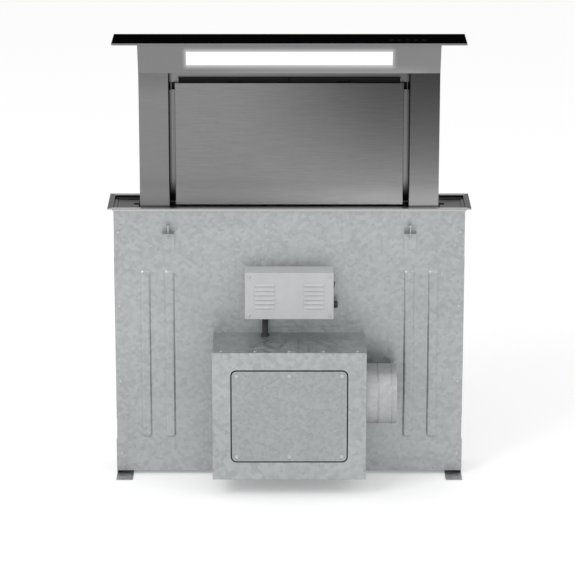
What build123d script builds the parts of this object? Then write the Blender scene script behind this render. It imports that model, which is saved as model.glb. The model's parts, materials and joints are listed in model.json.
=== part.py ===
from build123d import *
import math
import os

# Downdraft range hood, drawn raised. X runs to the right, Y to the back and Z up.
# Zero is the worktop's top face, at the middle of the hood's slot. All sizes are in millimetres.

# Worktop ring and its seal
ring_width = 900.0
ring_depth = 148.0
ring_flange = 13.0
ring_sheet = 1.5
ring_corner = 1.5
ring_recess = 7.3
ledge_width = 8.5
seal_thickness = 0.8
seal_inset = 1.0
cutout_gap = 1.5
cutout_seat = 3.0
worktop_thickness = 40.0

# Cap: glass laid flush in a steel tray
cap_gap = 3.0
cap_thickness = 5.0
cap_rim = 0.8
cap_floor = 1.0
cap_edge_round = 2.0
glass_clearance = 0.2
cap_collar = 3.0
cap_collar_angle = 45.0

# Lift
stroke = 412.0
running_clearance = 0.05
sliding_clearance = 0.1

# Tower
side_well_width = 78.0
tower_front = 3.0
tower_back_gap = 3.5
tower_sheet = 1.5
column_width = 74.0
column_bend = 2.5
column_return = 12.0
head_height = 78.0
head_lean = 32.0
plate_drop = 10.3
back_skirt = 52.0

# Front panel and the recessed frame behind it
panel_side_gap = 15.5
panel_top_gap = 25.0
panel_bottom_gap = 2.0
panel_back_gap = 4.0
panel_bend = 1.2
recess_depth = 15.0
surround_sheet = 1.2
surround_side_gap = 5.5
surround_bottom_gap = 2.0
opening_side = 24.5
opening_top = 13.0
opening_bottom = 20.0
opening_corner = 4.0
pivot_radius = 3.0
pivot_height = 6.0
pivot_edge = 4.0

# Panel catches and their holes
catch_hole_height = 19.5
catch_hole_top = 24.5
catch_hole_edge = 1.5
catch_hole_side = 1.5
catch_height = 10.0
catch_reach = 10.0
catch_sheet = 2.0

# Grease filters and their latches
filter_depth = 10.0
filter_gap = 2.0
filter_side_gap = 1.0
filter_top_gap = 2.5
filter_border = 18.0
mesh_depth = 6.0
rear_lip = 3.0
latch_width = 30.0
latch_body = 8.0
latch_depth = 5.0
latch_tongue_width = 20.0
latch_tongue = 6.0
latch_tongue_depth = 3.0
latch_travel = 5.0
latch_clearance = 0.5
latch_thumb = 2.0
latch_thumb_height = 3.0

# Light
window_side = 117.0
window_rise = 22.0
window_top_gap = 18.8
lens_lap = 5.0
lens_thickness = 2.5
lens_clearance = 0.4
lens_recess = 0.8
led_tray_depth = 16.0
led_tray_sheet = 1.5
led_count = 24
led_size = 5.0
led_height = 1.2
driver_length = 160.0
driver_depth = 28.0
driver_height = 18.0
driver_side = 172.0
driver_back_gap = 4.0

# Touch board
touch_length = 116.0
touch_width = 20.0
touch_thickness = 1.6
touch_clearance = 1.0
touch_side = 82.0
touch_setback = 10.0

# Shelf that closes the slot in front of the tower
shelf_sheet = 1.2
shelf_front_gap = 2.5
shelf_slot = 12.0
shelf_band = 9.0
shelf_step = 2.0
shelf_lip = 14.0
shelf_clearance = 0.3

# Closing plates
plate_sheet = 1.2
plate_side_gap = 3.0
plate_flange = 16.0
slot_length = 12.0
slot_front = 4.0
slot_back = 20.0

# Chassis
chassis_sheet = 1.5
chassis_return = 18.0
inlet_radius = 86.0

# Feet on the cabinet floor
foot_height = 10.0
foot_sheet = 2.0
foot_width = 42.0
foot_reach = 105.0
foot_upright_height = 90.0
foot_hole_radius = 2.75
foot_hole_edge = 22.0
foot_corner = 6.0

# Worktop clamps with their jack screws
clamp_width = 30.0
clamp_reach = 26.0
clamp_sheet = 2.0
clamp_leg = 46.0
clamp_room = 20.0
clamp_inset = 135.5
jack_radius = 2.5
jack_length = 34.0
jack_foot_radius = 6.0
jack_foot_height = 3.0

# Guide rods and guide blocks
rod_radius = 6.0
rod_chamfer = 1.0
rod_gear_gap = 0.5
rod_setback = 12.0
rod_top_gap = 4.8
rod_bottom_gap = 34.0
rod_clamp_height = 15.0
rod_clamp_half = 12.0
guide_wall = 12.0
guide_half_depth = 13.0
guide_height = 35.0
guide_rest_gap = 10.0
guide_gear_gap = 10.0

# Rack and pinion
tooth_module = 2.0
pinion_teeth = 18
pressure_angle = 20.0
tooth_play = 0.15
root_share = 1.25
flank_points = 5
gear_width = 12.0
gear_inset = 8.0
rack_margin = 24.0
shaft_radius = 5.0
shaft_inset = 11.0
shaft_overhang = 2.0
pinion_hub_radius = 9.0
pinion_hub_length = 5.0

# Moving frame
mast_width = 36.0
mast_sheet = 2.0
mast_inset = 6.0
mast_setback = 11.0
mast_back_gap = 3.5
mast_tail = 5.0
lift_room = 88.0
crossbar_height = 25.0
crossbar_sheet = 2.0

# Lift gear motor
gearbox_width = 40.0
gearbox_half_depth = 15.0
gearbox_rise = 22.0
gearbox_inset = 160.0
gearbox_edge = 3.0
motor_radius = 19.0
motor_front_gap = 20.0
motor_rise = 4.0
motor_edge = 2.0
motor_boot_radius = 12.0
motor_boot_length = 4.0

# Blower
box_rise = 38.0
box_sheet = 1.2
box_flange = 14.0
scroll_radius = 122.0
scroll_wall = 2.5
scroll_duct_margin = 1.5
scroll_gap = 2.0
scroll_head = 56.0
scroll_foot = 30.0
scroll_side = 68.0
scroll_inlet_radius = 78.0
impeller_radius = 92.0
impeller_gap = 11.0
impeller_motor_gap = 11.3
impeller_plate = 2.0
impeller_blades = 28
blade_depth = 14.0
blade_sheet = 1.2
blade_tilt = 35.0
blade_sink = 0.5
fan_hub_radius = 12.0
fan_hub_length = 14.0
fan_motor_radius = 44.0
fan_motor_length = 40.0
fan_motor_flange_radius = 54.0
fan_motor_flange = 3.0
fan_shaft_radius = 4.0

# Duct collar and its flaps
duct_radius = 74.5
duct_wall = 1.2
duct_flange = 8.0
duct_edge = 2.5
duct_end_gap = 7.5
damper_sheet = 1.5
damper_gap = 1.5
damper_offset = 3.5
damper_setback = 9.0
damper_pin_radius = 1.5
damper_barrel_radius = 2.5
damper_barrel_gap = 2.0

# Control box
control_width = 220.0
control_height = 120.0
control_depth = 56.0
control_gap = 52.0
control_wall = 2.0
control_cover = 2.0
control_corner = 3.0
board_inset = 14.0
board_thickness = 1.6
board_gap = 8.0
board_post_radius = 3.5
board_post_inset = 8.0
relay_size = 18.0
capacitor_radius = 9.0
capacitor_height = 24.0
gland_rise = 30.0
gland_nut_radius = 9.0
gland_neck_radius = 6.0
gland_bore_radius = 3.6
gland_nut = 5.0
gland_dome = 6.0
gland_round = 3.0
switch_drop = 38.0
switch_width = 13.0
switch_radius = 9.5
switch_gap = 0.4
switch_inner = 7.0
switch_outer = 3.0
switch_pin_radius = 1.2
switch_pin_length = 3.0
switch_ear = 4.0
switch_tilt = 8.0

# Screws
screw_radius = 2.0
screw_play = 0.05
screw_head_radius = 3.6
screw_head_height = 2.0
screw_length = 5.0
screw_head_round = 0.8
screw_edge = 10.0
tower_screw_edge = 6.5
chassis_screw_shares = (0.08, 0.36, 0.65, 0.93)
tower_screw_shares = (0.08, 0.41, 0.74, 0.96)

# One overrun serves all cuts
overrun = 2.0

# Levels that follow from the sizes above
flange_top = seal_thickness + ring_sheet
ledge_top = flange_top - ring_recess
ledge_bottom = ledge_top - ring_sheet
plate_top = flange_top - plate_drop
plate_bottom = plate_top - plate_sheet
cap_top = flange_top + stroke
cap_bottom = cap_top - cap_thickness
glass_bottom = cap_bottom + cap_floor
head_top = cap_bottom - cap_collar
head_slope = math.hypot(head_height, head_lean)
seam = head_top - head_height
panel_bottom = plate_top + panel_bottom_gap
panel_top = seam - panel_top_gap
pitch_radius = tooth_module * pinion_teeth / 2
pinion_tip = pitch_radius + tooth_module
rod_top = plate_bottom - plate_flange - rod_top_gap
upper_guide = rod_top - rod_clamp_height - guide_rest_gap - guide_height
shaft_z = upper_guide - guide_gear_gap - pinion_tip
lower_guide = shaft_z - pinion_tip - guide_gear_gap - guide_height
mast_bottom = lower_guide - mast_tail
crossbar_top = mast_bottom + crossbar_height
chassis_top = ledge_bottom
chassis_bottom = mast_bottom - stroke - lift_room
floor_level = chassis_bottom - foot_height
rod_bottom = chassis_bottom + rod_bottom_gap
box_bottom = chassis_bottom + box_rise
impeller_z = box_bottom + scroll_foot + scroll_radius
box_top = impeller_z + scroll_radius + scroll_head
scroll_duct = 2 * (duct_radius + scroll_duct_margin)
duct_z = impeller_z + scroll_radius - scroll_duct / 2
control_bottom = box_top + control_gap
control_top = control_bottom + control_height

# Widths and depths that follow from the sizes above
open_half_w = ring_width / 2 - ring_flange
open_half_d = ring_depth / 2 - ring_flange
skirt_half_w = open_half_w + ring_sheet
skirt_half_d = open_half_d + ring_sheet
pass_half_w = open_half_w - ledge_width
pass_half_d = open_half_d - ledge_width
chassis_half_w = skirt_half_w - cutout_seat
chassis_half_d = skirt_half_d - cutout_seat
inner_half_w = chassis_half_w - chassis_sheet
inner_half_d = chassis_half_d - chassis_sheet
return_half_d = inner_half_d - chassis_sheet
tower_half = ring_width / 2 - side_well_width
face_y = -tower_front
back_y = pass_half_d - tower_back_gap
back_inner = back_y - tower_sheet
column_inner = tower_half - column_width
panel_half = column_inner - panel_side_gap
surround_y = face_y + recess_depth
panel_back = surround_y - panel_back_gap
surround_half = column_inner - surround_side_gap
well_back = surround_y + surround_sheet + filter_gap + filter_depth
opening_half = column_inner - opening_side
opening_z0 = plate_top + opening_bottom
opening_z1 = seam - opening_top
filter_x0 = filter_side_gap / 2
filter_x1 = opening_half - filter_side_gap
filter_z0 = opening_z0
filter_z1 = opening_z1 - filter_top_gap
filter_front = well_back - filter_depth
filter_middle = (filter_x0 + filter_x1) / 2
latch_y = filter_front + latch_clearance
head_front = face_y - head_lean
window_half = tower_half - window_side
window_height = head_slope - window_rise - window_top_gap
mast_outer = tower_half - mast_inset
mast_inner = mast_outer - mast_width
mast_front = face_y + mast_setback
mast_back = back_inner - mast_back_gap
gear_x0 = tower_half + gear_inset
gear_x1 = gear_x0 + gear_width
shaft_y = mast_back - shaft_inset
rack_root = shaft_y + pitch_radius + root_share * tooth_module
rod_x = gear_x1 + rod_gear_gap + rod_clamp_half
rod_y = rod_setback
gearbox_x = mast_inner - gearbox_inset
box_half = scroll_radius + scroll_side
box_back = -chassis_half_d
box_front = box_back - 2 * (duct_radius + duct_flange + duct_edge)
box_middle = (box_front + box_back) / 2
scroll_back = box_back - scroll_gap
scroll_front = box_front + box_sheet + scroll_gap
scroll_end = box_half - box_sheet
impeller_back = scroll_back - impeller_gap
impeller_front = scroll_front + scroll_wall + fan_motor_length + impeller_motor_gap
impeller_inner_radius = impeller_radius - blade_depth
damper_x = box_half + damper_setback
control_half = control_width / 2
control_back = -chassis_half_d
control_front = control_back - control_depth
control_middle = (control_front + control_back) / 2
pivot_y = panel_back - pivot_edge
pivot_z = panel_bottom + pivot_height
shelf_front = -pass_half_d + shelf_front_gap
shelf_rear = face_y - shelf_slot

# Plane of the tilted light face: X along the hood, Y up the slope, Z outwards
head_plane = Plane(origin=(0, face_y, seam), x_dir=(1, 0, 0), z_dir=(0, -head_height, -head_lean))


def block(x0, x1, y0, y1, z0, z1):
    """A box between two corners."""
    corner = (Align.MIN, Align.MIN, Align.MIN)
    return Pos(x0, y0, z0) * Box(x1 - x0, y1 - y0, z1 - z0, align=corner)


def bar(radius, length, at, along):
    """A round bar that starts at a point and runs along a direction."""
    return extrude(Plane(origin=at, z_dir=along) * Circle(radius), length)


def sided(shape, side):
    """The shape as drawn for the right side, or its mirror image for the left."""
    if side > 0:
        return shape
    return mirror(shape, about=Plane.YZ)


def prism_x(points, x0, x1):
    """A solid with the given outline in Y and Z, from x0 to x1."""
    plane = Plane(origin=(x0, 0, 0), x_dir=(0, 1, 0), z_dir=(1, 0, 0))
    return extrude(plane * Polygon(*points, align=None), x1 - x0, dir=(1, 0, 0))


def flat_ring(half_w, half_d, hole_w, hole_d, z0, z1):
    """A flat frame round a rectangular hole."""
    outer = block(-half_w, half_w, -half_d, half_d, z0, z1)
    return outer - block(-hole_w, hole_w, -hole_d, hole_d, z0 - overrun, z1 + overrun)


def slope_block(x0, x1, s0, s1, d0, d1):
    """A box on the tilted light face, between two heights up the slope and two depths under it."""
    return head_plane.location * block(x0, x1, s0, s1, -d1, -d0)


def screw(at, along):
    """A pan head screw whose head sits on the point and whose shank runs along the direction."""
    back = tuple(-value for value in along)
    head = bar(screw_head_radius, screw_head_height, at, back)
    crown = head.faces().sort_by(Axis(at, back))[-1]
    head = fillet(crown.edges(), screw_head_round)
    return head + bar(screw_radius, screw_length, at, along)


def screw_hole(at, along):
    """The hole that a screw's shank passes through."""
    start = tuple(place - overrun * value for place, value in zip(at, along))
    return bar(screw_radius + screw_play, screw_length + 2 * overrun, start, along)


def chassis_screw_places(edge):
    """Places of the screws through the front sheet (edge -1) or the rear sheet (edge 1)."""
    x = inner_half_w - screw_edge
    span = chassis_bottom - chassis_top
    zs = [chassis_top + share * span for share in chassis_screw_shares]
    return [(s * x, edge * chassis_half_d, z) for z in zs for s in (-1, 1)]


def foot_screw_places(side):
    """Places of the screws through a floor bracket's upright."""
    x = side * (chassis_half_w + foot_sheet)
    z = floor_level + foot_upright_height - screw_edge
    return [(x, edge * inner_half_d / 2, z) for edge in (-1, 1)]


def tower_screw_places():
    """Places of the screws through the tower's back panel."""
    xs = (tower_half - tower_screw_edge, column_inner + tower_screw_edge)
    zs = [plate_top + share * (seam - plate_top) for share in tower_screw_shares]
    return [(s * x, back_y, z) for z in zs for x in xs for s in (-1, 1)]


# Worktop ring
def make_worktop_seal():
    return flat_ring(ring_width / 2 - seal_inset, ring_depth / 2 - seal_inset,
                     skirt_half_w + cutout_gap, skirt_half_d + cutout_gap, 0, seal_thickness)


def make_trim_ring():
    flange = flat_ring(ring_width / 2, ring_depth / 2, open_half_w, open_half_d,
                       seal_thickness, flange_top)
    corners = flange.edges().filter_by(Axis.Z).sort_by_distance((0, 0, 0))[-4:]
    flange = fillet(corners, ring_corner)
    skirt = flat_ring(skirt_half_w, skirt_half_d, open_half_w, open_half_d, ledge_bottom, flange_top)
    ledge = flat_ring(skirt_half_w, skirt_half_d, pass_half_w, pass_half_d, ledge_bottom, ledge_top)
    return flange + skirt + ledge


def make_closing_plate(side):
    """Sunk plate beside the tower, with folded edges and a lift-out slot at its inner edge."""
    x0 = tower_half + plate_side_gap
    x1 = inner_half_w
    y1 = return_half_d
    deep = plate_bottom - plate_flange
    plate = block(x0, x1, -y1, y1, plate_bottom, plate_top)
    plate += block(x1 - plate_sheet, x1, -y1, y1, deep, plate_bottom)
    plate += block(x0, x1, -y1, -y1 + plate_sheet, deep, plate_bottom)
    plate += block(x0, x1, y1 - plate_sheet, y1, deep, plate_bottom)
    plate -= block(x0 - overrun, x0 + slot_length, slot_front, slot_back,
                   plate_bottom - overrun, plate_top + overrun)
    return sided(plate, side)


# Chassis
def make_chassis_sheet(edge):
    """Front (edge -1) or rear (edge 1) sheet of the chassis."""
    y0, y1 = sorted((edge * inner_half_d, edge * chassis_half_d))
    sheet = block(-chassis_half_w, chassis_half_w, y0, y1, chassis_bottom, chassis_top)
    for place in chassis_screw_places(edge):
        sheet -= screw_hole(place, (0, -edge, 0))
    if edge < 0:
        start = (0, y0 - overrun, impeller_z)
        sheet -= bar(inlet_radius, chassis_sheet + 2 * overrun, start, (0, 1, 0))
    return sheet


def make_chassis_side(side):
    """Side channel, with returns that the front and rear sheets are screwed to."""
    channel = block(inner_half_w, chassis_half_w, -inner_half_d, inner_half_d,
                    chassis_bottom, chassis_top)
    for edge in (-1, 1):
        y0, y1 = sorted((edge * inner_half_d, edge * return_half_d))
        channel += block(inner_half_w - chassis_return, inner_half_w, y0, y1,
                         chassis_bottom, chassis_top)
        for place in chassis_screw_places(edge):
            if place[0] > 0:
                channel -= screw_hole(place, (0, -edge, 0))
    for place in foot_screw_places(1):
        channel -= screw_hole(place, (-1, 0, 0))
    return sided(channel, side)


def make_chassis_floor():
    half_w = inner_half_w - chassis_return
    top = chassis_bottom + chassis_sheet
    tray = block(-half_w, half_w, -inner_half_d, inner_half_d, chassis_bottom, top)
    for edge in (-1, 1):
        y0, y1 = sorted((edge * inner_half_d, edge * return_half_d))
        tray += block(-half_w, half_w, y0, y1, top, chassis_bottom + chassis_return)
    return tray


def make_floor_bracket(side):
    """Angle bracket that carries one side of the chassis on the cabinet's floor."""
    x0 = chassis_half_w
    bracket = block(x0, x0 + foot_sheet, -inner_half_d, inner_half_d,
                    floor_level, floor_level + foot_upright_height)
    x1 = x0 + foot_sheet
    foot = block(x1 - foot_width, x1, -foot_reach, foot_reach, floor_level, floor_level + foot_sheet)
    foot = fillet(foot.edges().filter_by(Axis.Z).group_by(Axis.X)[0], foot_corner)
    for y in (-foot_reach + foot_hole_edge, foot_reach - foot_hole_edge):
        start = (x1 - foot_width / 2, y, floor_level - overrun)
        foot -= bar(foot_hole_radius, foot_sheet + 2 * overrun, start, (0, 0, 1))
    bracket += foot
    for place in foot_screw_places(1):
        bracket -= screw_hole(place, (-1, 0, 0))
    return sided(bracket, side)


def make_chassis_screws():
    screws = []
    for side in (-1, 1):
        screws += [screw(place, (0, -side, 0)) for place in chassis_screw_places(side)]
        screws += [screw(place, (-side, 0, 0)) for place in foot_screw_places(side)]
    return screws


def make_worktop_clamp(x, edge):
    """Angle bracket on the chassis and the jack screw that bears under the worktop."""
    wall = edge * chassis_half_d
    shelf = -worktop_thickness - clamp_room
    x0 = x - clamp_width / 2
    x1 = x + clamp_width / 2
    y0, y1 = sorted((wall, wall + edge * clamp_sheet))
    bracket = block(x0, x1, y0, y1, shelf - clamp_leg, shelf)
    y0, y1 = sorted((wall, wall + edge * clamp_reach))
    bracket += block(x0, x1, y0, y1, shelf - clamp_sheet, shelf)
    y = wall + edge * clamp_reach / 2
    foot_z = -worktop_thickness - jack_foot_height
    start = (x, y, foot_z - jack_length)
    bracket -= bar(jack_radius, jack_length, start, (0, 0, 1))
    jack = bar(jack_radius, jack_length, start, (0, 0, 1))
    jack += bar(jack_foot_radius, jack_foot_height, (x, y, foot_z), (0, 0, 1))
    return [bracket, jack]


def make_worktop_clamps():
    pieces = []
    reach = chassis_half_w - clamp_inset
    for x in (-reach, reach):
        for edge in (-1, 1):
            pieces += make_worktop_clamp(x, edge)
    return pieces


# Lift guides
def make_guide_rod(side):
    rod = bar(rod_radius, rod_top - rod_bottom, (rod_x, rod_y, rod_bottom), (0, 0, 1))
    return sided(chamfer(rod.edges(), rod_chamfer), side)


def make_rod_clamps():
    """Blocks that hold the ends of the guide rods on the chassis sides."""
    clamps = []
    for side in (-1, 1):
        for z0 in (rod_bottom, rod_top - rod_clamp_height):
            clamp = block(rod_x - rod_clamp_half, inner_half_w, rod_y - rod_clamp_half,
                          rod_y + rod_clamp_half, z0, z0 + rod_clamp_height)
            start = (rod_x, rod_y, z0 - overrun)
            clamp -= bar(rod_radius, rod_clamp_height + 2 * overrun, start, (0, 0, 1))
            clamps.append(sided(clamp, side))
    return clamps


def make_guide_blocks(side):
    """Upper and lower plastic block of one mast, which slide on its guide rod."""
    blocks = []
    for z0 in (upper_guide, lower_guide):
        guide = block(mast_outer, rod_x + guide_wall, rod_y - guide_half_depth,
                      rod_y + guide_half_depth, z0, z0 + guide_height)
        start = (rod_x, rod_y, z0 - overrun)
        guide -= bar(rod_radius + sliding_clearance, guide_height + 2 * overrun, start, (0, 0, 1))
        blocks.append(sided(guide, side))
    return blocks


# Rack and pinion
def involute(angle):
    return math.tan(angle) - angle


def pinion_outline():
    """Points of the pinion's teeth, with one tooth pointing along the first axis."""
    pressure = math.radians(pressure_angle)
    base = pitch_radius * math.cos(pressure)
    root = pitch_radius - root_share * tooth_module
    half_at_pitch = math.pi / (2 * pinion_teeth) - tooth_play / (2 * pitch_radius)
    flank = []
    for i in range(flank_points):
        radius = base + (pinion_tip - base) * i / (flank_points - 1)
        half = half_at_pitch + involute(pressure) - involute(math.acos(base / radius))
        flank.append((radius, half))
    flank = [(root, flank[0][1])] + flank
    tooth = [(radius, -half) for radius, half in flank] + list(reversed(flank))
    points = []
    for tooth_number in range(pinion_teeth):
        turn = 2 * math.pi * tooth_number / pinion_teeth
        points += [(r * math.cos(turn + a), r * math.sin(turn + a)) for r, a in tooth]
    return points


def make_pinion(side):
    plane = Plane(origin=(gear_x0, shaft_y, shaft_z), x_dir=(0, 1, 0), z_dir=(1, 0, 0))
    gear = extrude(plane * Polygon(*pinion_outline(), align=None), gear_width, dir=(1, 0, 0))
    start = (gear_x0 - pinion_hub_length, shaft_y, shaft_z)
    gear += bar(pinion_hub_radius, pinion_hub_length, start, (1, 0, 0))
    gear -= bar(shaft_radius, pinion_hub_length + gear_width, start, (1, 0, 0))
    return sided(gear, side)


def make_rack(side):
    """Straight rack on the chassis's rear sheet, with a tooth space level with the raised shaft."""
    pitch = math.pi * tooth_module
    slope = math.tan(math.radians(pressure_angle))
    pitch_line = shaft_y + pitch_radius
    tip = pitch_line - tooth_module
    half_tip = pitch / 4 - tooth_module * slope - tooth_play / 2
    half_root = pitch / 4 + root_share * tooth_module * slope - tooth_play / 2
    above = math.ceil(rack_margin / pitch)
    below = math.ceil((stroke + rack_margin) / pitch)
    points = []
    for tooth_number in range(-below, above):
        z = shaft_z + (tooth_number + 0.5) * pitch
        points += [(rack_root, z - half_root), (tip, z - half_tip)]
        points += [(tip, z + half_tip), (rack_root, z + half_root)]
    low = shaft_z - below * pitch
    high = shaft_z + above * pitch
    points = [(rack_root, low)] + points + [(rack_root, high), (inner_half_d, high), (inner_half_d, low)]
    return sided(prism_x(points, gear_x0, gear_x1), side)


def make_cross_shaft():
    reach = gear_x1 + shaft_overhang
    return bar(shaft_radius, 2 * reach, (-reach, shaft_y, shaft_z), (1, 0, 0))


# Moving frame
def make_mast(side):
    """Channel inside the column that carries the head and reaches down to the guides."""
    mast = block(mast_inner, mast_outer, mast_front, mast_back, mast_bottom, seam)
    mast -= block(mast_inner - overrun, mast_outer - mast_sheet, mast_front + mast_sheet,
                  mast_back - mast_sheet, mast_bottom - overrun, seam + overrun)
    start = (mast_inner, shaft_y, shaft_z)
    mast -= bar(shaft_radius + running_clearance, mast_width + overrun, start, (1, 0, 0))
    return sided(mast, side)


def make_carriage_crossbar():
    half = mast_outer - mast_sheet
    y0 = mast_front + mast_sheet
    y1 = mast_back - mast_sheet
    beam = block(-half, half, y0, y1, mast_bottom, crossbar_top)
    return beam - block(-half - overrun, half + overrun, y0 + crossbar_sheet, y1 - crossbar_sheet,
                        mast_bottom - overrun, crossbar_top - crossbar_sheet)


def make_lift_gearbox():
    x0 = gearbox_x - gearbox_width / 2
    case = block(x0, x0 + gearbox_width, shaft_y - gearbox_half_depth, shaft_y + gearbox_half_depth,
                 crossbar_top, shaft_z + gearbox_rise)
    case = chamfer(case.edges().filter_by(Axis.X).group_by(Axis.Z)[-1], gearbox_edge)
    start = (x0 - overrun, shaft_y, shaft_z)
    return case - bar(shaft_radius + running_clearance, gearbox_width + 2 * overrun, start, (1, 0, 0))


def make_lift_motor():
    y = shaft_y - gearbox_half_depth
    z = crossbar_top + motor_rise + motor_radius
    length = y + inner_half_d - motor_front_gap - motor_boot_length
    motor = bar(motor_radius, length, (gearbox_x, y, z), (0, -1, 0))
    end = motor.faces().sort_by(Axis.Y)[0]
    motor = fillet(end.edges(), motor_edge)
    return motor + bar(motor_boot_radius, motor_boot_length, (gearbox_x, y - length, z), (0, -1, 0))


def make_shelf_plate():
    """Plate that the columns stand on and that closes the slot in front of the tower."""
    bottom = plate_top - shelf_sheet
    band = shelf_rear - shelf_band
    low_top = plate_top - shelf_step
    low_bottom = bottom - shelf_step
    plate = block(-tower_half, tower_half, band, shelf_rear, bottom, plate_top)
    plate += block(-tower_half, tower_half, band - shelf_sheet, band, low_bottom, plate_top)
    plate += block(-tower_half, tower_half, shelf_front, band - shelf_sheet, low_bottom, low_top)
    plate += block(-tower_half, tower_half, shelf_front, shelf_front + shelf_sheet,
                   low_bottom - shelf_lip, low_bottom)
    arm = block(column_inner, tower_half, shelf_rear, back_inner, bottom, plate_top)
    arm -= block(mast_inner - shelf_clearance, mast_outer + shelf_clearance,
                 mast_front - shelf_clearance, mast_back + shelf_clearance,
                 bottom - overrun, plate_top + overrun)
    return plate + arm + mirror(arm, about=Plane.YZ)


# Tower covers
def make_column(side):
    """Folded cover of one side of the tower, open at the back behind two narrow returns."""
    shell = block(column_inner, tower_half, face_y, back_inner, plate_top, seam)
    shell = fillet(shell.edges().filter_by(Axis.Z).group_by(Axis.Y)[0], column_bend)
    shell -= block(column_inner + tower_sheet, tower_half - tower_sheet, face_y + tower_sheet,
                   back_inner - tower_sheet, plate_top - overrun, seam + overrun)
    shell -= block(column_inner + column_return, tower_half - column_return, face_y + column_return,
                   back_inner + overrun, plate_top - overrun, seam + overrun)
    for place in tower_screw_places():
        if place[0] > 0:
            shell -= screw_hole(place, (0, -1, 0))
    start = (column_inner - overrun, pivot_y, pivot_z)
    shell -= bar(pivot_radius + running_clearance, tower_sheet + 2 * overrun, start, (1, 0, 0))
    return sided(shell, side)


def make_back_panel():
    panel = block(-tower_half, tower_half, back_inner, back_y, plate_top - back_skirt, head_top)
    for place in tower_screw_places():
        panel -= screw_hole(place, (0, -1, 0))
    return panel


def make_tower_screws():
    return [screw(place, (0, -1, 0)) for place in tower_screw_places()]


def make_head_shell():
    """Folded light head whose face leans forward, with the window for the lens."""
    profile = [(face_y, seam), (head_front, head_top), (back_inner, head_top), (back_inner, seam)]
    slant = tower_sheet * head_slope / head_height
    drift = head_lean * tower_sheet / head_height
    core = [(face_y + slant - drift, seam + tower_sheet),
            (head_front + slant + drift, head_top - tower_sheet),
            (back_inner + overrun, head_top - tower_sheet),
            (back_inner + overrun, seam + tower_sheet)]
    shell = prism_x(profile, -tower_half, tower_half)
    shell -= prism_x(core, -tower_half + tower_sheet, tower_half - tower_sheet)
    return shell - slope_block(-window_half, window_half, window_rise, window_rise + window_height,
                               -overrun, tower_sheet + overrun)


def make_led_lens():
    """Frosted lens: a sheet behind the window with a raised middle that fills it."""
    low = window_rise
    high = window_rise + window_height
    lens = slope_block(-window_half - lens_lap, window_half + lens_lap, low - lens_lap,
                       high + lens_lap, tower_sheet, tower_sheet + lens_thickness)
    return lens + slope_block(-window_half + lens_clearance, window_half - lens_clearance,
                              low + lens_clearance, high - lens_clearance, lens_recess, tower_sheet)


def make_led_tray():
    """White tray behind the lens, with the row of light-emitting chips on its bottom."""
    half = window_half + lens_lap
    low = window_rise - lens_lap
    high = window_rise + window_height + lens_lap
    top = tower_sheet + lens_thickness
    bottom = top + led_tray_depth
    wall = led_tray_sheet
    tray = slope_block(-half, half, low, high, top, bottom)
    tray -= slope_block(-half + wall, half - wall, low + wall, high - wall, top - overrun, bottom - wall)
    middle = (low + high) / 2
    pitch = 2 * window_half / led_count
    for i in range(led_count):
        x = (i + 0.5) * pitch - window_half
        tray += slope_block(x - led_size / 2, x + led_size / 2, middle - led_size / 2,
                            middle + led_size / 2, bottom - wall - led_height, bottom - wall)
    return tray


def make_led_driver():
    x = driver_side - tower_half
    y1 = back_inner - driver_back_gap
    z0 = seam + tower_sheet
    return block(x - driver_length / 2, x + driver_length / 2, y1 - driver_depth, y1,
                 z0, z0 + driver_height)


# Cap
def touch_block(room, z0, z1):
    """The touch board's outline, with a little room round it."""
    x = tower_half - touch_side
    x0 = x - touch_length / 2 - room
    x1 = x + touch_length / 2 + room
    y0 = head_front + touch_setback - room
    return block(x0, x1, y0, y0 + touch_width + 2 * room, z0, z1)


def make_cap_tray():
    """Steel tray with the pocket for the glass, and a flared collar that joins it to the head."""
    half_w = open_half_w - cap_gap
    half_d = open_half_d - cap_gap
    tray = block(-half_w, half_w, -half_d, half_d, cap_bottom, cap_top)
    tray = fillet(tray.edges().group_by(Axis.Z)[0], cap_edge_round)
    tray -= block(-half_w + cap_rim, half_w - cap_rim, -half_d + cap_rim, half_d - cap_rim,
                  glass_bottom, cap_top + overrun)
    middle = (head_front + back_y) / 2
    collar = Plane(origin=(0, middle, head_top)) * Rectangle(2 * tower_half, back_y - head_front)
    tray += extrude(collar, cap_collar, taper=-cap_collar_angle)
    return tray - touch_block(touch_clearance, glass_bottom - touch_thickness, glass_bottom)


def make_cap_glass():
    edge = cap_gap + cap_rim + glass_clearance
    half_w = open_half_w - edge
    half_d = open_half_d - edge
    return block(-half_w, half_w, -half_d, half_d, glass_bottom, cap_top)


def make_touch_board():
    return touch_block(0, glass_bottom - touch_thickness, glass_bottom)


# Filter frame and front panel
def rounded_hole(half_w, z0, z1, radius, y0, y1):
    """A rounded rectangular plug through a sheet that faces the front."""
    plane = Plane(origin=(0, y1, (z0 + z1) / 2), x_dir=(1, 0, 0), z_dir=(0, -1, 0))
    return extrude(plane * RectangleRounded(2 * half_w, z1 - z0, radius), y1 - y0)


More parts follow.
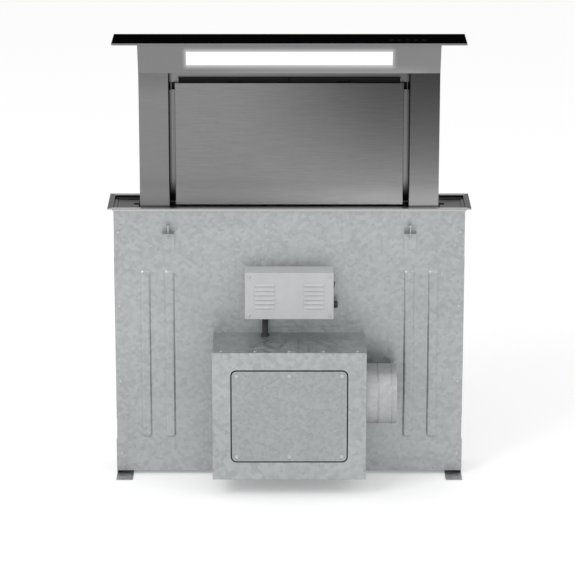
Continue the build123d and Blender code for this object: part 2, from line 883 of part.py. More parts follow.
def make_filter_surround():
    """Recessed frame behind the panel: a front plate, a well for the filters and a rear plate."""
    y0 = surround_y
    y1 = surround_y + surround_sheet
    y2 = well_back
    y3 = well_back + surround_sheet
    z0 = plate_top + surround_bottom_gap
    wall = surround_sheet
    front = block(-surround_half, surround_half, y0, y1, z0, seam)
    front += rounded_hole(opening_half + wall, opening_z0 - wall, opening_z1 + wall,
                          opening_corner + wall, y1, y2)
    front -= rounded_hole(opening_half, opening_z0, opening_z1, opening_corner,
                          y0 - overrun, y2 + overrun)
    hole_z1 = seam - catch_hole_top
    hole = block(panel_half - catch_sheet - catch_hole_side, surround_half - catch_hole_edge,
                 y0 - overrun, y1 + overrun, hole_z1 - catch_hole_height, hole_z1)
    front = front - hole - mirror(hole, about=Plane.YZ)
    rear = block(-column_inner, column_inner, y2, y3, plate_top, seam)
    rear -= block(-opening_half + rear_lip, opening_half - rear_lip, y2 - overrun, y3 + overrun,
                  opening_z0 + rear_lip, opening_z1 - rear_lip)
    frame = front + rear
    half = latch_tongue_width / 2 + latch_clearance
    tongue_y = latch_y + (latch_depth - latch_tongue_depth) / 2
    for x in (-filter_middle, filter_middle):
        frame -= block(x - half, x + half, tongue_y - latch_clearance,
                       tongue_y + latch_tongue_depth + latch_clearance,
                       opening_z1 - overrun / 2, opening_z1 + wall + overrun / 2)
    return frame


def make_filter_frame(side):
    """Aluminium frame of one grease filter, with the pocket of its latch in the top rail."""
    frame = block(filter_x0, filter_x1, filter_front, well_back, filter_z0, filter_z1)
    frame = fillet(frame.edges().filter_by(Axis.Y), opening_corner)
    frame -= block(filter_x0 + filter_border, filter_x1 - filter_border, filter_front - overrun,
                   well_back + overrun, filter_z0 + filter_border, filter_z1 - filter_border)
    half = latch_width / 2 + latch_clearance
    depth = latch_depth + 2 * latch_clearance
    frame -= block(filter_middle - half, filter_middle + half, filter_front - overrun,
                   filter_front + depth, filter_z1 - latch_body - latch_travel - latch_clearance,
                   filter_z1 + overrun)
    return sided(frame, side)


def make_filter_mesh(side):
    y0 = filter_front + (filter_depth - mesh_depth) / 2
    mesh = block(filter_x0 + filter_border, filter_x1 - filter_border, y0, y0 + mesh_depth,
                 filter_z0 + filter_border, filter_z1 - filter_border)
    return sided(mesh, side)


def make_filter_latch(side):
    """Sliding latch with a tongue that enters the well's top wall, and a ridge for the thumb."""
    z0 = filter_z1 - latch_body
    y1 = latch_y + latch_depth
    latch = block(filter_middle - latch_width / 2, filter_middle + latch_width / 2,
                  latch_y, y1, z0, filter_z1)
    y0 = latch_y + (latch_depth - latch_tongue_depth) / 2
    latch += block(filter_middle - latch_tongue_width / 2, filter_middle + latch_tongue_width / 2,
                   y0, y0 + latch_tongue_depth, filter_z1, filter_z1 + latch_tongue)
    latch += block(filter_middle - latch_tongue_width / 2, filter_middle + latch_tongue_width / 2,
                   latch_y - latch_thumb, latch_y, z0, z0 + latch_thumb_height)
    return sided(latch, side)


def make_front_panel():
    """Folded front panel, with a pivot at each lower corner and a catch behind each upper one."""
    panel = block(-panel_half, panel_half, face_y, panel_back, panel_bottom, panel_top)
    panel = fillet(panel.faces().sort_by(Axis.Y)[0].edges(), panel_bend)
    panel -= block(-panel_half + tower_sheet, panel_half - tower_sheet, face_y + tower_sheet,
                   panel_back + overrun, panel_bottom + tower_sheet, panel_top - tower_sheet)
    start = (panel_half - tower_sheet, pivot_y, pivot_z)
    pivot = bar(pivot_radius, panel_side_gap + 2 * tower_sheet, start, (1, 0, 0))
    catch_z = seam - catch_hole_top - (catch_hole_height + catch_height) / 2
    catch = block(panel_half - catch_sheet, panel_half, panel_back - overrun, panel_back + catch_reach,
                  catch_z, catch_z + catch_height)
    fittings = pivot + catch
    return panel + fittings + mirror(fittings, about=Plane.YZ)


# Blower
def make_blower_box():
    """Folded steel box on the front of the chassis, open towards it, with a screwed flange."""
    box = block(-box_half, box_half, box_front, box_back, box_bottom, box_top)
    box -= block(-box_half + box_sheet, box_half - box_sheet, box_front + box_sheet,
                 box_back + overrun, box_bottom + box_sheet, box_top - box_sheet)
    flange = block(-box_half - box_flange, box_half + box_flange, box_back - box_sheet, box_back,
                   box_bottom - box_flange, box_top + box_flange)
    flange -= block(-box_half, box_half, box_back - overrun - box_sheet, box_back + overrun,
                    box_bottom, box_top)
    start = (box_half - overrun, box_middle, duct_z)
    return box + flange - bar(duct_radius - duct_wall, 2 * overrun, start, (1, 0, 0))


def scroll_prism(inset, y0, y1, end):
    """The fan housing's outline, a drum with a straight outlet, drawn in by an inset."""
    drum = bar(scroll_radius - inset, y1 - y0, (0, y0, impeller_z), (0, 1, 0))
    top = impeller_z + scroll_radius
    return drum + block(0, end, y0, y1, top - scroll_duct + inset, top - inset)


def make_scroll_housing():
    shell = scroll_prism(0, scroll_front, scroll_back, scroll_end)
    shell -= scroll_prism(scroll_wall, scroll_front + scroll_wall, scroll_back - scroll_wall,
                          scroll_end + overrun)
    start = (0, scroll_back - scroll_wall - overrun, impeller_z)
    return shell - bar(scroll_inlet_radius, scroll_wall + 2 * overrun, start, (0, 1, 0))


def make_impeller():
    """Fan wheel: a hub disc, a rim ring and a row of curved-forward blades between them."""
    disc_back = impeller_front + impeller_plate
    wheel = bar(impeller_radius, impeller_plate, (0, impeller_front, impeller_z), (0, 1, 0))
    wheel += bar(fan_hub_radius, fan_hub_length, (0, disc_back, impeller_z), (0, 1, 0))
    ring_start = (0, impeller_back - impeller_plate, impeller_z)
    rim = bar(impeller_radius, impeller_plate, ring_start, (0, 1, 0))
    wheel += rim - bar(impeller_inner_radius, impeller_plate, ring_start, (0, 1, 0))
    chord = (impeller_radius - impeller_inner_radius - 2 * blade_sink) / math.cos(math.radians(blade_tilt))
    middle = (impeller_radius + impeller_inner_radius) / 2
    blade = block(-chord / 2, chord / 2, disc_back - blade_sink, impeller_back - impeller_plate + blade_sink,
                  -blade_sheet / 2, blade_sheet / 2)
    blade = Pos(middle, 0, 0) * Rot(0, blade_tilt, 0) * blade
    for i in range(impeller_blades):
        wheel += Pos(0, 0, impeller_z) * Rot(0, 360 * i / impeller_blades, 0) * blade
    start = (0, impeller_front - overrun, impeller_z)
    bore_length = impeller_plate + fan_hub_length + 2 * overrun
    return wheel - bar(fan_shaft_radius + running_clearance, bore_length, start, (0, 1, 0))


def make_blower_motor():
    wall = scroll_front + scroll_wall
    motor = bar(fan_motor_flange_radius, fan_motor_flange, (0, wall, impeller_z), (0, 1, 0))
    motor += bar(fan_motor_radius, fan_motor_length, (0, wall, impeller_z), (0, 1, 0))
    shaft_end = impeller_front + impeller_plate + fan_hub_length
    return motor + bar(fan_shaft_radius, shaft_end - wall, (0, wall, impeller_z), (0, 1, 0))


def make_duct_collar():
    """Round outlet with a flange on the blower box and the holes of the flaps' pins."""
    start = (box_half, box_middle, duct_z)
    collar = bar(duct_radius + duct_flange, duct_wall, start, (1, 0, 0))
    length = damper_setback + duct_radius - duct_end_gap
    collar += bar(duct_radius, length, start, (1, 0, 0))
    inner = (box_half - overrun, box_middle, duct_z)
    collar -= bar(duct_radius - duct_wall, length + 2 * overrun, inner, (1, 0, 0))
    for edge in (-1, 1):
        low = (damper_x, box_middle + edge * damper_offset, duct_z - duct_radius - overrun)
        collar -= bar(damper_pin_radius + running_clearance, 2 * (duct_radius + overrun), low, (0, 0, 1))
    return collar


def make_damper(edge):
    """Half-round flap on an upright pin, in front of (-1) or behind (1) the outlet's middle."""
    y = box_middle + edge * damper_offset
    radius = duct_radius - duct_wall - damper_gap
    flap = bar(radius, damper_sheet, (damper_x - damper_sheet / 2, box_middle, duct_z), (1, 0, 0))
    y0, y1 = sorted((y, box_middle + edge * (radius + overrun)))
    flap = flap & block(damper_x - damper_sheet, damper_x + damper_sheet, y0, y1,
                        duct_z - duct_radius, duct_z + duct_radius)
    barrel = radius - damper_barrel_gap
    flap += bar(damper_barrel_radius, 2 * barrel, (damper_x, y, duct_z - barrel), (0, 0, 1))
    reach = math.sqrt(duct_radius ** 2 - damper_offset ** 2)
    return flap + bar(damper_pin_radius, 2 * reach, (damper_x, y, duct_z - reach), (0, 0, 1))


# Electrics
def switch_centre():
    return control_half - control_wall, control_middle, control_top - switch_drop


def make_control_box():
    """Plastic box on the chassis, with the holes and ears of the switch and the gland's hole."""
    box = block(-control_half, control_half, control_front, control_back, control_bottom, control_top)
    box = fillet(box.edges().filter_by(Axis.Y), control_corner)
    box -= block(-control_half + control_wall, control_half - control_wall, control_front - overrun,
                 control_back - control_wall, control_bottom + control_wall, control_top - control_wall)
    x, y, z = switch_centre()
    half = switch_width / 2 + switch_gap
    reach = switch_radius + switch_gap
    for edge in (-1, 1):
        y0, y1 = sorted((y + edge * half, y + edge * (half + switch_pin_length)))
        box += block(x - switch_ear, x, y0, y1, z - switch_ear, z + switch_ear)
    box -= block(x - overrun, x + control_wall + overrun, y - half, y + half, z - reach, z + reach)
    pin_start = (x - switch_ear / 2, y - half - switch_pin_length - overrun, z)
    pin_span = 2 * (half + switch_pin_length + overrun)
    box -= bar(switch_pin_radius + running_clearance, pin_span, pin_start, (0, 1, 0))
    start = (x - overrun, y, control_bottom + gland_rise)
    return box - bar(gland_neck_radius, control_wall + 2 * overrun, start, (1, 0, 0))


def make_control_box_cover():
    cover = block(-control_half, control_half, control_front - control_cover, control_front,
                  control_bottom, control_top)
    return fillet(cover.edges().filter_by(Axis.Y), control_corner)


def make_control_board():
    """Circuit board on four posts, with a relay and a capacitor on its face."""
    wall = control_back - control_wall
    y1 = wall - board_gap
    y0 = y1 - board_thickness
    x1 = control_half - control_wall - board_inset
    z0 = control_bottom + control_wall + board_inset
    z1 = control_top - control_wall - board_inset
    board = block(-x1, x1, y0, y1, z0, z1)
    for x in (-x1 + board_post_inset, x1 - board_post_inset):
        for z in (z0 + board_post_inset, z1 - board_post_inset):
            board += bar(board_post_radius, board_gap, (x, wall, z), (0, -1, 0))
    board += block(-x1 / 2, -x1 / 2 + relay_size, y0 - relay_size, y0, z1 - 2 * relay_size, z1 - relay_size)
    middle = (z0 + z1) / 2
    return board + bar(capacitor_radius, capacitor_height, (0, y0, middle), (0, -1, 0))


def make_cable_gland():
    x = control_half
    y = control_middle
    z = control_bottom + gland_rise
    gland = bar(gland_nut_radius, gland_nut, (x, y, z), (1, 0, 0))
    dome = bar(gland_nut_radius, gland_dome, (x + gland_nut, y, z), (1, 0, 0))
    end = dome.faces().sort_by(Axis.X)[-1]
    gland += chamfer(end.edges(), gland_round)
    gland += bar(gland_neck_radius, control_wall, (x - control_wall, y, z), (1, 0, 0))
    gland += bar(gland_nut_radius, gland_nut, (x - control_wall - gland_nut, y, z), (1, 0, 0))
    span = 2 * gland_nut + gland_dome + control_wall
    start = (x - control_wall - gland_nut - overrun, y, z)
    return gland - bar(gland_bore_radius, span + 2 * overrun, start, (1, 0, 0))


def make_mains_switch():
    """Rocker with ends that are round about its pin, drawn switched off with its lower end pressed in."""
    x, y, z = switch_centre()
    pin_x = x - switch_ear / 2
    half = switch_width / 2
    rocker = bar(switch_radius, switch_width, (pin_x, y - half, z), (0, 1, 0))
    rocker = rocker & block(pin_x - switch_inner, control_half + switch_outer, y - half, y + half,
                            z - switch_radius, z + switch_radius)
    centre = Pos(pin_x, y, z)
    rocker = centre * Rot(0, switch_tilt, 0) * centre.inverse() * rocker
    reach = half + switch_gap + switch_pin_length
    return rocker + bar(switch_pin_radius, 2 * reach, (pin_x, y - reach, z), (0, 1, 0))


def build_parts():
    """Every sub-part by name; a list is a group of separate solids."""
    parts = {
        "worktop_seal": make_worktop_seal(),
        "trim_ring": make_trim_ring(),
        "chassis_front": make_chassis_sheet(-1),
        "chassis_rear": make_chassis_sheet(1),
        "chassis_floor": make_chassis_floor(),
        "chassis_screws": make_chassis_screws(),
        "worktop_clamps": make_worktop_clamps(),
        "rod_clamps": make_rod_clamps(),
        "cross_shaft": make_cross_shaft(),
        "carriage_crossbar": make_carriage_crossbar(),
        "lift_gearbox": make_lift_gearbox(),
        "lift_motor": make_lift_motor(),
        "shelf_plate": make_shelf_plate(),
        "back_panel": make_back_panel(),
        "tower_screws": make_tower_screws(),
        "head_shell": make_head_shell(),
        "led_lens": make_led_lens(),
        "led_tray": make_led_tray(),
        "led_driver": make_led_driver(),
        "cap_tray": make_cap_tray(),
        "cap_glass": make_cap_glass(),
        "touch_board": make_touch_board(),
        "filter_surround": make_filter_surround(),
        "front_panel": make_front_panel(),
        "blower_box": make_blower_box(),
        "scroll_housing": make_scroll_housing(),
        "impeller": make_impeller(),
        "blower_motor": make_blower_motor(),
        "duct_collar": make_duct_collar(),
        "damper_front": make_damper(-1),
        "damper_rear": make_damper(1),
        "control_box": make_control_box(),
        "control_box_cover": make_control_box_cover(),
        "control_board": make_control_board(),
        "cable_gland": make_cable_gland(),
        "mains_switch": make_mains_switch(),
    }
    for name, side in (("left", -1), ("right", 1)):
        parts["closing_plate_" + name] = make_closing_plate(side)
        parts["chassis_side_" + name] = make_chassis_side(side)
        parts["floor_bracket_" + name] = make_floor_bracket(side)
        parts["guide_rod_" + name] = make_guide_rod(side)
        parts["guide_blocks_" + name] = make_guide_blocks(side)
        parts["rack_" + name] = make_rack(side)
        parts["pinion_" + name] = make_pinion(side)
        parts["mast_" + name] = make_mast(side)
        parts["column_" + name] = make_column(side)
        parts["filter_frame_" + name] = make_filter_frame(side)
        parts["filter_mesh_" + name] = make_filter_mesh(side)
        parts["filter_latch_" + name] = make_filter_latch(side)
    return parts


os.makedirs("parts", exist_ok=True)
for name, shape in build_parts().items():
    if isinstance(shape, list):
        shape = Compound(children=shape)
    export_step(shape, f"parts/{name}.step")
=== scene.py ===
import bpy
import bmesh
import json
import math
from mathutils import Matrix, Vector

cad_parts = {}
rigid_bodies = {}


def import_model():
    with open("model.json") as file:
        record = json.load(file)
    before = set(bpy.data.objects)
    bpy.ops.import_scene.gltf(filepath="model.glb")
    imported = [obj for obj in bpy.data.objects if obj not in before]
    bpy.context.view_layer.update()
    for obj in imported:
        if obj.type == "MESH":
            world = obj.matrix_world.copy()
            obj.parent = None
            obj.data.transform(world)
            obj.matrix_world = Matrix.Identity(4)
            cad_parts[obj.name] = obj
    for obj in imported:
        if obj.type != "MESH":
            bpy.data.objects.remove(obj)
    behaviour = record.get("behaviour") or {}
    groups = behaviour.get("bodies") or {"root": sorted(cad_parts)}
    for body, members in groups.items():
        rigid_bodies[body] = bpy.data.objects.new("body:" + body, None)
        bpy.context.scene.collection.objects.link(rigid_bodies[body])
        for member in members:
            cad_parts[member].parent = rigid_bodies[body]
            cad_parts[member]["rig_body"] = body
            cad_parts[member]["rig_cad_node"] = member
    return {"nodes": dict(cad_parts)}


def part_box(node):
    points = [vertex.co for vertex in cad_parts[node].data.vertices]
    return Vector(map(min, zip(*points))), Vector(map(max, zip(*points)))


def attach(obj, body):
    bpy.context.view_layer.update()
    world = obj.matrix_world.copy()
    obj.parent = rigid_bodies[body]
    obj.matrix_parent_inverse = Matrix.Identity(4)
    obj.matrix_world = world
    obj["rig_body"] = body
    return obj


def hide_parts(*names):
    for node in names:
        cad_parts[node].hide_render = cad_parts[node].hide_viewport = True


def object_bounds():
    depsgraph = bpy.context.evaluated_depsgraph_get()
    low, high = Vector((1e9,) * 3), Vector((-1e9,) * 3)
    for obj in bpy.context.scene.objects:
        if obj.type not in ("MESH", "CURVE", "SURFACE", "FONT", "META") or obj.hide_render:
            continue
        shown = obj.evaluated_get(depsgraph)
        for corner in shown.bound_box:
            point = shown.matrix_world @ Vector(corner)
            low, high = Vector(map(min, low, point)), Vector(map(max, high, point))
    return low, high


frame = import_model()
cad_low, cad_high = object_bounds()

# Camera. It stands seven metres back, a few millimetres left of the middle, and looks down on the
# raised tower with a long lens, so that the ring and the glass cap both show their upper faces.
camera_place = (-0.0044, -7.0, 1.88)
camera_dip = 16.72
bpy.ops.object.select_all(action="DESELECT")
bpy.ops.object.camera_add(location=camera_place, rotation=(math.radians(90 - camera_dip), 0, 0))
camera = bpy.context.object
camera.name = "Camera"
camera.data.sensor_width = 36
camera.data.lens = 181.9
camera.data.clip_end = 200
bpy.context.scene.camera = camera

# Floor and light. A plain pale floor runs out of sight in every direction and keeps the shadow,
# and two large softboxes with a white room around them light the metal evenly.
floor_level = round(cad_low[2], 4)
floor_size = 120
floor_grey = (0.92, 0.92, 0.92, 1)
floor_lift = 0.22
white = (1, 1, 1, 1)
room_glow = 0.78
softbox_size = 2.6
softboxes = (((-3.2, -3.6, 3.2), (52, 0, -42), 95), ((3.4, -3.0, 2.6), (56, 0, 48), 30))
bpy.ops.mesh.primitive_plane_add(size=floor_size, location=(0, 0, floor_level))
floor = bpy.context.object
floor.name = "Studio_floor"
bpy.ops.object.transform_apply(location=True, rotation=True, scale=True)


def fed(tree, made, feeds):
    """Each named input of a node gets its value, or is joined to the socket that drives it."""
    for key, value in feeds.items():
        if isinstance(value, bpy.types.NodeSocket):
            tree.links.new(value, made.inputs[key])
        else:
            made.inputs[key].default_value = value


def node(tree, kind, feeds=None, **settings):
    """One shader node with its settings and its inputs."""
    made = tree.nodes.new("ShaderNode" + kind)
    for key, value in settings.items():
        setattr(made, key, value)
    fed(tree, made, feeds or {})
    return made


def reckoned(tree, operation, *values, **settings):
    """The result of one sum over values and sockets."""
    return node(tree, "Math", dict(enumerate(values)), operation=operation, **settings).outputs[0]


def ranged(tree, value, low, high, start=0.0, end=1.0, curve="LINEAR"):
    """While the value runs from start to end, the result runs from low to high, and is held outside."""
    feeds = {"Value": value, "From Min": start, "From Max": end, "To Min": low, "To Max": high}
    return node(tree, "MapRange", feeds, interpolation_type=curve).outputs["Result"]


def straight_seen(tree):
    """One where the camera sees this directly, in a reflection or through glass, and nought elsewhere."""
    rays = node(tree, "LightPath").outputs
    seen = reckoned(tree, "ADD", rays["Is Camera Ray"], rays["Is Glossy Ray"])
    return reckoned(tree, "ADD", seen, rays["Is Transmission Ray"], use_clamp=True)


floor_paint = bpy.data.materials.new("Studio floor")
floor_paint.use_nodes = True
paint_tree = floor_paint.node_tree
paint_tree.nodes.clear()
matt = node(paint_tree, "BsdfDiffuse", {"Color": floor_grey}).outputs[0]
lift = ranged(paint_tree, straight_seen(paint_tree), 0.0, floor_lift)
lifted = node(paint_tree, "Emission", {"Color": white, "Strength": lift}).outputs[0]
painted = node(paint_tree, "AddShader", {0: matt, 1: lifted}).outputs[0]
node(paint_tree, "OutputMaterial", {"Surface": painted})
floor.data.materials.append(floor_paint)

room = bpy.data.worlds.new("Studio room")
room.use_nodes = True
bpy.context.scene.world = room
room_tree = room.node_tree
room_level = ranged(room_tree, straight_seen(room_tree), room_glow, 1.0)
fed(room_tree, room_tree.nodes["Background"], {"Color": white, "Strength": room_level})
for place, turn, power in softboxes:
    bpy.ops.object.light_add(type="AREA", location=place, rotation=[math.radians(a) for a in turn])
    bpy.context.object.data.size = softbox_size
    bpy.context.object.data.energy = power
bpy.context.scene.view_settings.view_transform = "Standard"


# Ring and its sealing tape. The ring is 8 mm stainless plate milled to a thin lip with a sunk inner
# ledge, line-brushed along its length; black foam tape under the lip seals it down.
def effect(name, inputs, outputs):
    """An empty node group for an effect that several finishes share. It is given a place on the piece
    and the named inputs, and makes the named outputs."""
    group = bpy.data.node_groups.new(name, "ShaderNodeTree")
    group.interface.new_socket("Vector", in_out="INPUT", socket_type="NodeSocketVector")
    for label, value in inputs.items():
        socket = group.interface.new_socket(label, in_out="INPUT", socket_type="NodeSocketFloat")
        socket.default_value = value
    for label in outputs:
        group.interface.new_socket(label, in_out="OUTPUT", socket_type="NodeSocketFloat")
    return group, group.nodes.new("NodeGroupInput").outputs, group.nodes.new("NodeGroupOutput")


def noise(tree, place, scale, detail, rough=0.5):
    """Clouds or grain at a place, fine or coarse by their scale."""
    feeds = {"Vector": place, "Scale": scale, "Detail": detail, "Roughness": rough}
    return node(tree, "TexNoise", feeds).outputs["Fac"]


def scaled(tree, colour, factor):
    """A colour or a place multiplied by one factor."""
    return node(tree, "VectorMath", {0: colour, "Scale": factor}, operation="SCALE").outputs[0]


def mixed(tree, share, first, second):
    """A value between two others: the first where the share is nought, the second where it is one."""
    return node(tree, "Mix", {0: share, 2: first, 3: second}).outputs[0]


def line_grain():
    """Long fine scratches of a line-brushed sheet, drawn out by the scale of the vector that comes in."""
    group, given, made = effect("Line grain", {}, ("Streak", "Height"))
    coarse = noise(group, given["Vector"], 1.0, 4.0, 0.65)
    fine = noise(group, scaled(group, given["Vector"], 5.3), 1.0, 3.0, 0.6)
    both = mixed(group, 0.45, coarse, fine)
    fed(group, made, {"Streak": ranged(group, both, 0.0, 1.0, 0.32, 0.68), "Height": both})
    return group


def handling():
    """Soft uneven patches left by handling and wiping."""
    group, given, made = effect("Handling", {"Scale": 6.0}, ("Patch",))
    cloud = noise(group, given["Vector"], given["Scale"], 3.0, 0.55)
    fed(group, made, {"Patch": ranged(group, cloud, 0.0, 1.0, 0.3, 0.7)})
    return group


CORNERS = ("Left", "Right", "Low", "High", "Low left", "Low right", "High left", "High right")


def painted_light_corners():
    """Painted light and shade: a slow change of brightness between a sheet's four corners, as a factor for
    its colour.
    """
    group, given, made = effect("Painted light corners", dict.fromkeys(CORNERS, 1.0), ("Tone",))
    axes = node(group, "SeparateXYZ", {0: given["Vector"]}).outputs
    across = ranged(group, axes["X"], 0.0, 1.0, given["Left"], given["Right"], "SMOOTHSTEP")
    upward = ranged(group, axes["Z"], 0.0, 1.0, given["Low"], given["High"])
    foot = mixed(group, across, given["Low left"], given["Low right"])
    head = mixed(group, across, given["High left"], given["High right"])
    rise = reckoned(group, "POWER", reckoned(group, "DIVIDE", head, foot), upward)
    fed(group, made, {"Tone": reckoned(group, "MULTIPLY", foot, rise)})
    return group


LINE_GRAIN, HANDLING, PAINTED_LIGHT_CORNERS = line_grain(), handling(), painted_light_corners()


def new_finish(name):
    """An empty finish, with its nodes, its shader and the piece's own coordinates to draw on."""
    made = bpy.data.materials.new(name)
    made.use_nodes = True
    tree = made.node_tree
    return made, tree, tree.nodes["Principled BSDF"], node(tree, "TexCoord").outputs["Object"]


def shared(tree, group, place, values=None):
    """The outputs of a shared effect at a place, with this finish's own values for its inputs."""
    return node(tree, "Group", {"Vector": place, **(values or {})}, node_tree=group).outputs


def handled(tree, place, scale):
    """The patches of handling, small where the scale is large."""
    return shared(tree, HANDLING, place, {"Scale": scale})["Patch"]


def stretched(tree, place, scale):
    """A place scaled by its own factor along each axis, which draws a pattern out."""
    return node(tree, "Mapping", {"Vector": place, "Scale": scale}).outputs[0]


def skin(tree, height, strength, edge, depth=0.0002):
    """A surface's fine relief, on edges that catch the light as if rounded by the edge's radius."""
    rounded = node(tree, "Bevel", {"Radius": edge}, samples=4).outputs["Normal"]
    feeds = {"Strength": strength, "Distance": depth, "Height": height, "Normal": rounded}
    return node(tree, "Bump", feeds).outputs["Normal"]


lightest_steel = 0.92


def brushed(name, colour, grain, rough=0.33, contrast=0.1, painted_tones=(), painted_fades=(), glow=None, foot=None):
    """Line-brushed steel. Grain is how fast the streaks change along each axis. Each stretch of tone, each
    fade and the glow put painted light and shade into its colour. Each stretch lies between two sides and
    two levels, with the factors at its two lower and its two upper corners. Each fade is an axis, or +X for
    both sides alike, where the change starts and ends, and the factor before it. Glow gives a factor of its
    own, and foot is how high the sheet's foot is scuffed duller, and by how much."""
    made, tree, shader, place = new_finish(name)
    axes = node(tree, "SeparateXYZ", {0: place}).outputs
    streak = shared(tree, LINE_GRAIN, stretched(tree, place, grain))
    patch = handled(tree, place, 7.0)
    factors = [ranged(tree, patch, 0.97, 1.03)]
    for sides, levels, lower, upper in painted_tones:
        corners = dict(zip(CORNERS, sides + levels + lower + upper))
        factors.append(shared(tree, PAINTED_LIGHT_CORNERS, place, corners)["Tone"])
    for axis, start, end, before in painted_fades:
        along = reckoned(tree, "ABSOLUTE", axes["X"]) if axis == "+X" else axes[axis]
        factors.append(ranged(tree, along, before, 1.0, start, end, "SMOOTHSTEP"))
    if glow:
        factors.append(glow(tree, axes))
    tone = ranged(tree, streak["Streak"], 1 - contrast, 1 + contrast)
    for factor in factors:
        tone = reckoned(tree, "MULTIPLY", tone, factor)
    tone = reckoned(tree, "MINIMUM", tone, lightest_steel / max(colour))
    gloss = ranged(tree, streak["Streak"], rough - 0.05, rough + 0.06)
    gloss = reckoned(tree, "ADD", gloss, ranged(tree, patch, -0.02, 0.03))
    if foot:
        height, duller = foot
        scuffed = ranged(tree, axes["Z"], duller, 0.0, 0.0, height, "SMOOTHSTEP")
        gloss = reckoned(tree, "ADD", gloss, scuffed)
    fed(tree, shader, {"Metallic": 1.0, "Base Color": scaled(tree, colour, tone), "Roughness": gloss,
                       "Normal": skin(tree, streak["Height"], 0.1, 0.0004)})
    return made


bar_inner_x, bar_inner_y = 0.4372, 0.0612
ledge_level, rim_level = -0.0048, 0.0011
long_grain = (9, 620, 620)
cross_grain = (620, 9, 620)
ring_reach = 0.07
# Painted light and shade on the ring: the long bars lighter at the front than at the back, the end bars, sunk
# ledge and wall painted darker as shade, and the rim a painted highlight.
front_bar_painted_light, rear_bar_painted_shade, end_bar_painted_shade = 0.5, 0.36, 0.13
ledge_painted_shade, wall_painted_shade, rim_painted_highlight = 0.16, 0.025, 0.75
ring_tint = (0.6, 0.6, 0.6, 1)


def mitred_steel(name):
    """The ring's steel: each bar brushed along its own length and mitred at the corners. Light and shade are
    painted into its colour: the long bars darken from front to back, the end bars, the sunk ledge and the
    wall round it are painted darker than the long bars as shade, and the wall's rim carries a painted
    highlight."""
    made, tree, shader, place = new_finish(name)
    axes = node(tree, "SeparateXYZ", {0: place}).outputs
    past_x = reckoned(tree, "SUBTRACT", reckoned(tree, "ABSOLUTE", axes["X"]), bar_inner_x)
    past_y = reckoned(tree, "SUBTRACT", reckoned(tree, "ABSOLUTE", axes["Y"]), bar_inner_y)
    end_bar = reckoned(tree, "GREATER_THAN", past_x, past_y)
    sunk = reckoned(tree, "LESS_THAN", reckoned(tree, "MAXIMUM", past_x, past_y), 0.0)
    feeds = {0: end_bar, 4: long_grain, 5: cross_grain}
    grain = node(tree, "Mix", feeds, data_type="VECTOR").outputs[1]
    drawn = node(tree, "VectorMath", {0: place, 1: grain}, operation="MULTIPLY").outputs[0]
    streak = shared(tree, LINE_GRAIN, drawn)
    long_bar = ranged(tree, axes["Y"], front_bar_painted_light, rear_bar_painted_shade, -ring_reach, ring_reach)
    bars = mixed(tree, end_bar, long_bar, end_bar_painted_shade)
    wall = mixed(tree, reckoned(tree, "GREATER_THAN", axes["Z"], rim_level), wall_painted_shade, rim_painted_highlight)
    recess = mixed(tree, reckoned(tree, "GREATER_THAN", axes["Z"], ledge_level), ledge_painted_shade, wall)
    tone = mixed(tree, sunk, bars, recess)
    tone = reckoned(tree, "MULTIPLY", tone, ranged(tree, streak["Streak"], 0.9, 1.1))
    fed(tree, shader, {"Metallic": 1.0, "Specular Tint": ring_tint,
                       "Base Color": node(tree, "CombineColor", {0: tone, 1: tone, 2: tone}).outputs[0],
                       "Roughness": ranged(tree, streak["Streak"], 0.26, 0.38),
                       "Normal": skin(tree, streak["Height"], 0.1, 0.0005)})
    return made


def foam(name, colour, size):
    """Closed-cell foam or felt: dark, matt, with fine cells."""
    made, tree, shader, place = new_finish(name)
    cells = node(tree, "TexVoronoi", {"Vector": place, "Scale": size}).outputs["Distance"]
    relief = node(tree, "Bump", {"Strength": 0.5, "Distance": 0.0003, "Height": cells})
    fed(tree, shader, {"Base Color": scaled(tree, colour, ranged(tree, cells, 0.7, 1.3, 0.0, 0.8)),
                       "Normal": relief.outputs["Normal"], "Roughness": 0.95, "Specular IOR Level": 0.2})
    return made


def finished(material, *names):
    """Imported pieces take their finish."""
    for name in names:
        frame["nodes"][name].data.materials.clear()
        frame["nodes"][name].data.materials.append(material)


finished(mitred_steel("Ring steel"), "trim_ring")
finished(foam("Foam tape", (0.02, 0.02, 0.021), 2400), "worktop_seal")


# Closing plates and front strip. Sunk dark plates fill the slot beside and in front of the tower;
# each is folded from 1.2 mm sheet and powder coated, and the side ones lift out by their slots.
def powder_coat(name, colour, rough, size=1500.0, metallic=0.0, graze=1.0):
    """Powder coat or stoved paint: even colour with a fine orange-peel skin and thin dust."""
    made, tree, shader, place = new_finish(name)
    peel = noise(tree, place, size, 2.0)
    patch = handled(tree, place, 11.0)
    speck = ranged(tree, peel, 0.94, 1.06, 0.35, 0.65)
    tone = reckoned(tree, "MULTIPLY", ranged(tree, patch, 0.93, 1.08), speck)
    fed(tree, shader, {"Metallic": metallic, "Specular Tint": (graze, graze, graze, 1),
                       "Base Color": scaled(tree, colour, tone),
                       "Roughness": ranged(tree, patch, rough - 0.06, rough + 0.06),
                       "Normal": skin(tree, peel, 0.25, 0.0004)})
    return made


plate_coat = powder_coat("Dark plate coat", (0.17, 0.17, 0.173), 0.42, metallic=1.0, graze=0.6)
finished(plate_coat, "closing_plate_left", "closing_plate_right", "shelf_plate")


# Chassis box. Zinc-coated sheet folded and screwed into a flat upright box; the zinc shows its
# crystal spangle, and pressed beads stiffen the large sheets.
def spangle():
    """Crystals of hot-dip zinc, each facing a little differently, with a finer frost inside them."""
    group, given, made = effect("Zinc spangle", {"Scale": 110.0}, ("Crystal", "Frost"))
    crystals = node(group, "TexVoronoi", {"Vector": given["Vector"], "Scale": given["Scale"]})
    crystal = node(group, "SeparateColor", {0: crystals.outputs["Color"]}).outputs[0]
    fed(group, made, {"Crystal": crystal, "Frost": noise(group, given["Vector"], 900.0, 2.0)})
    return group


SPANGLE = spangle()


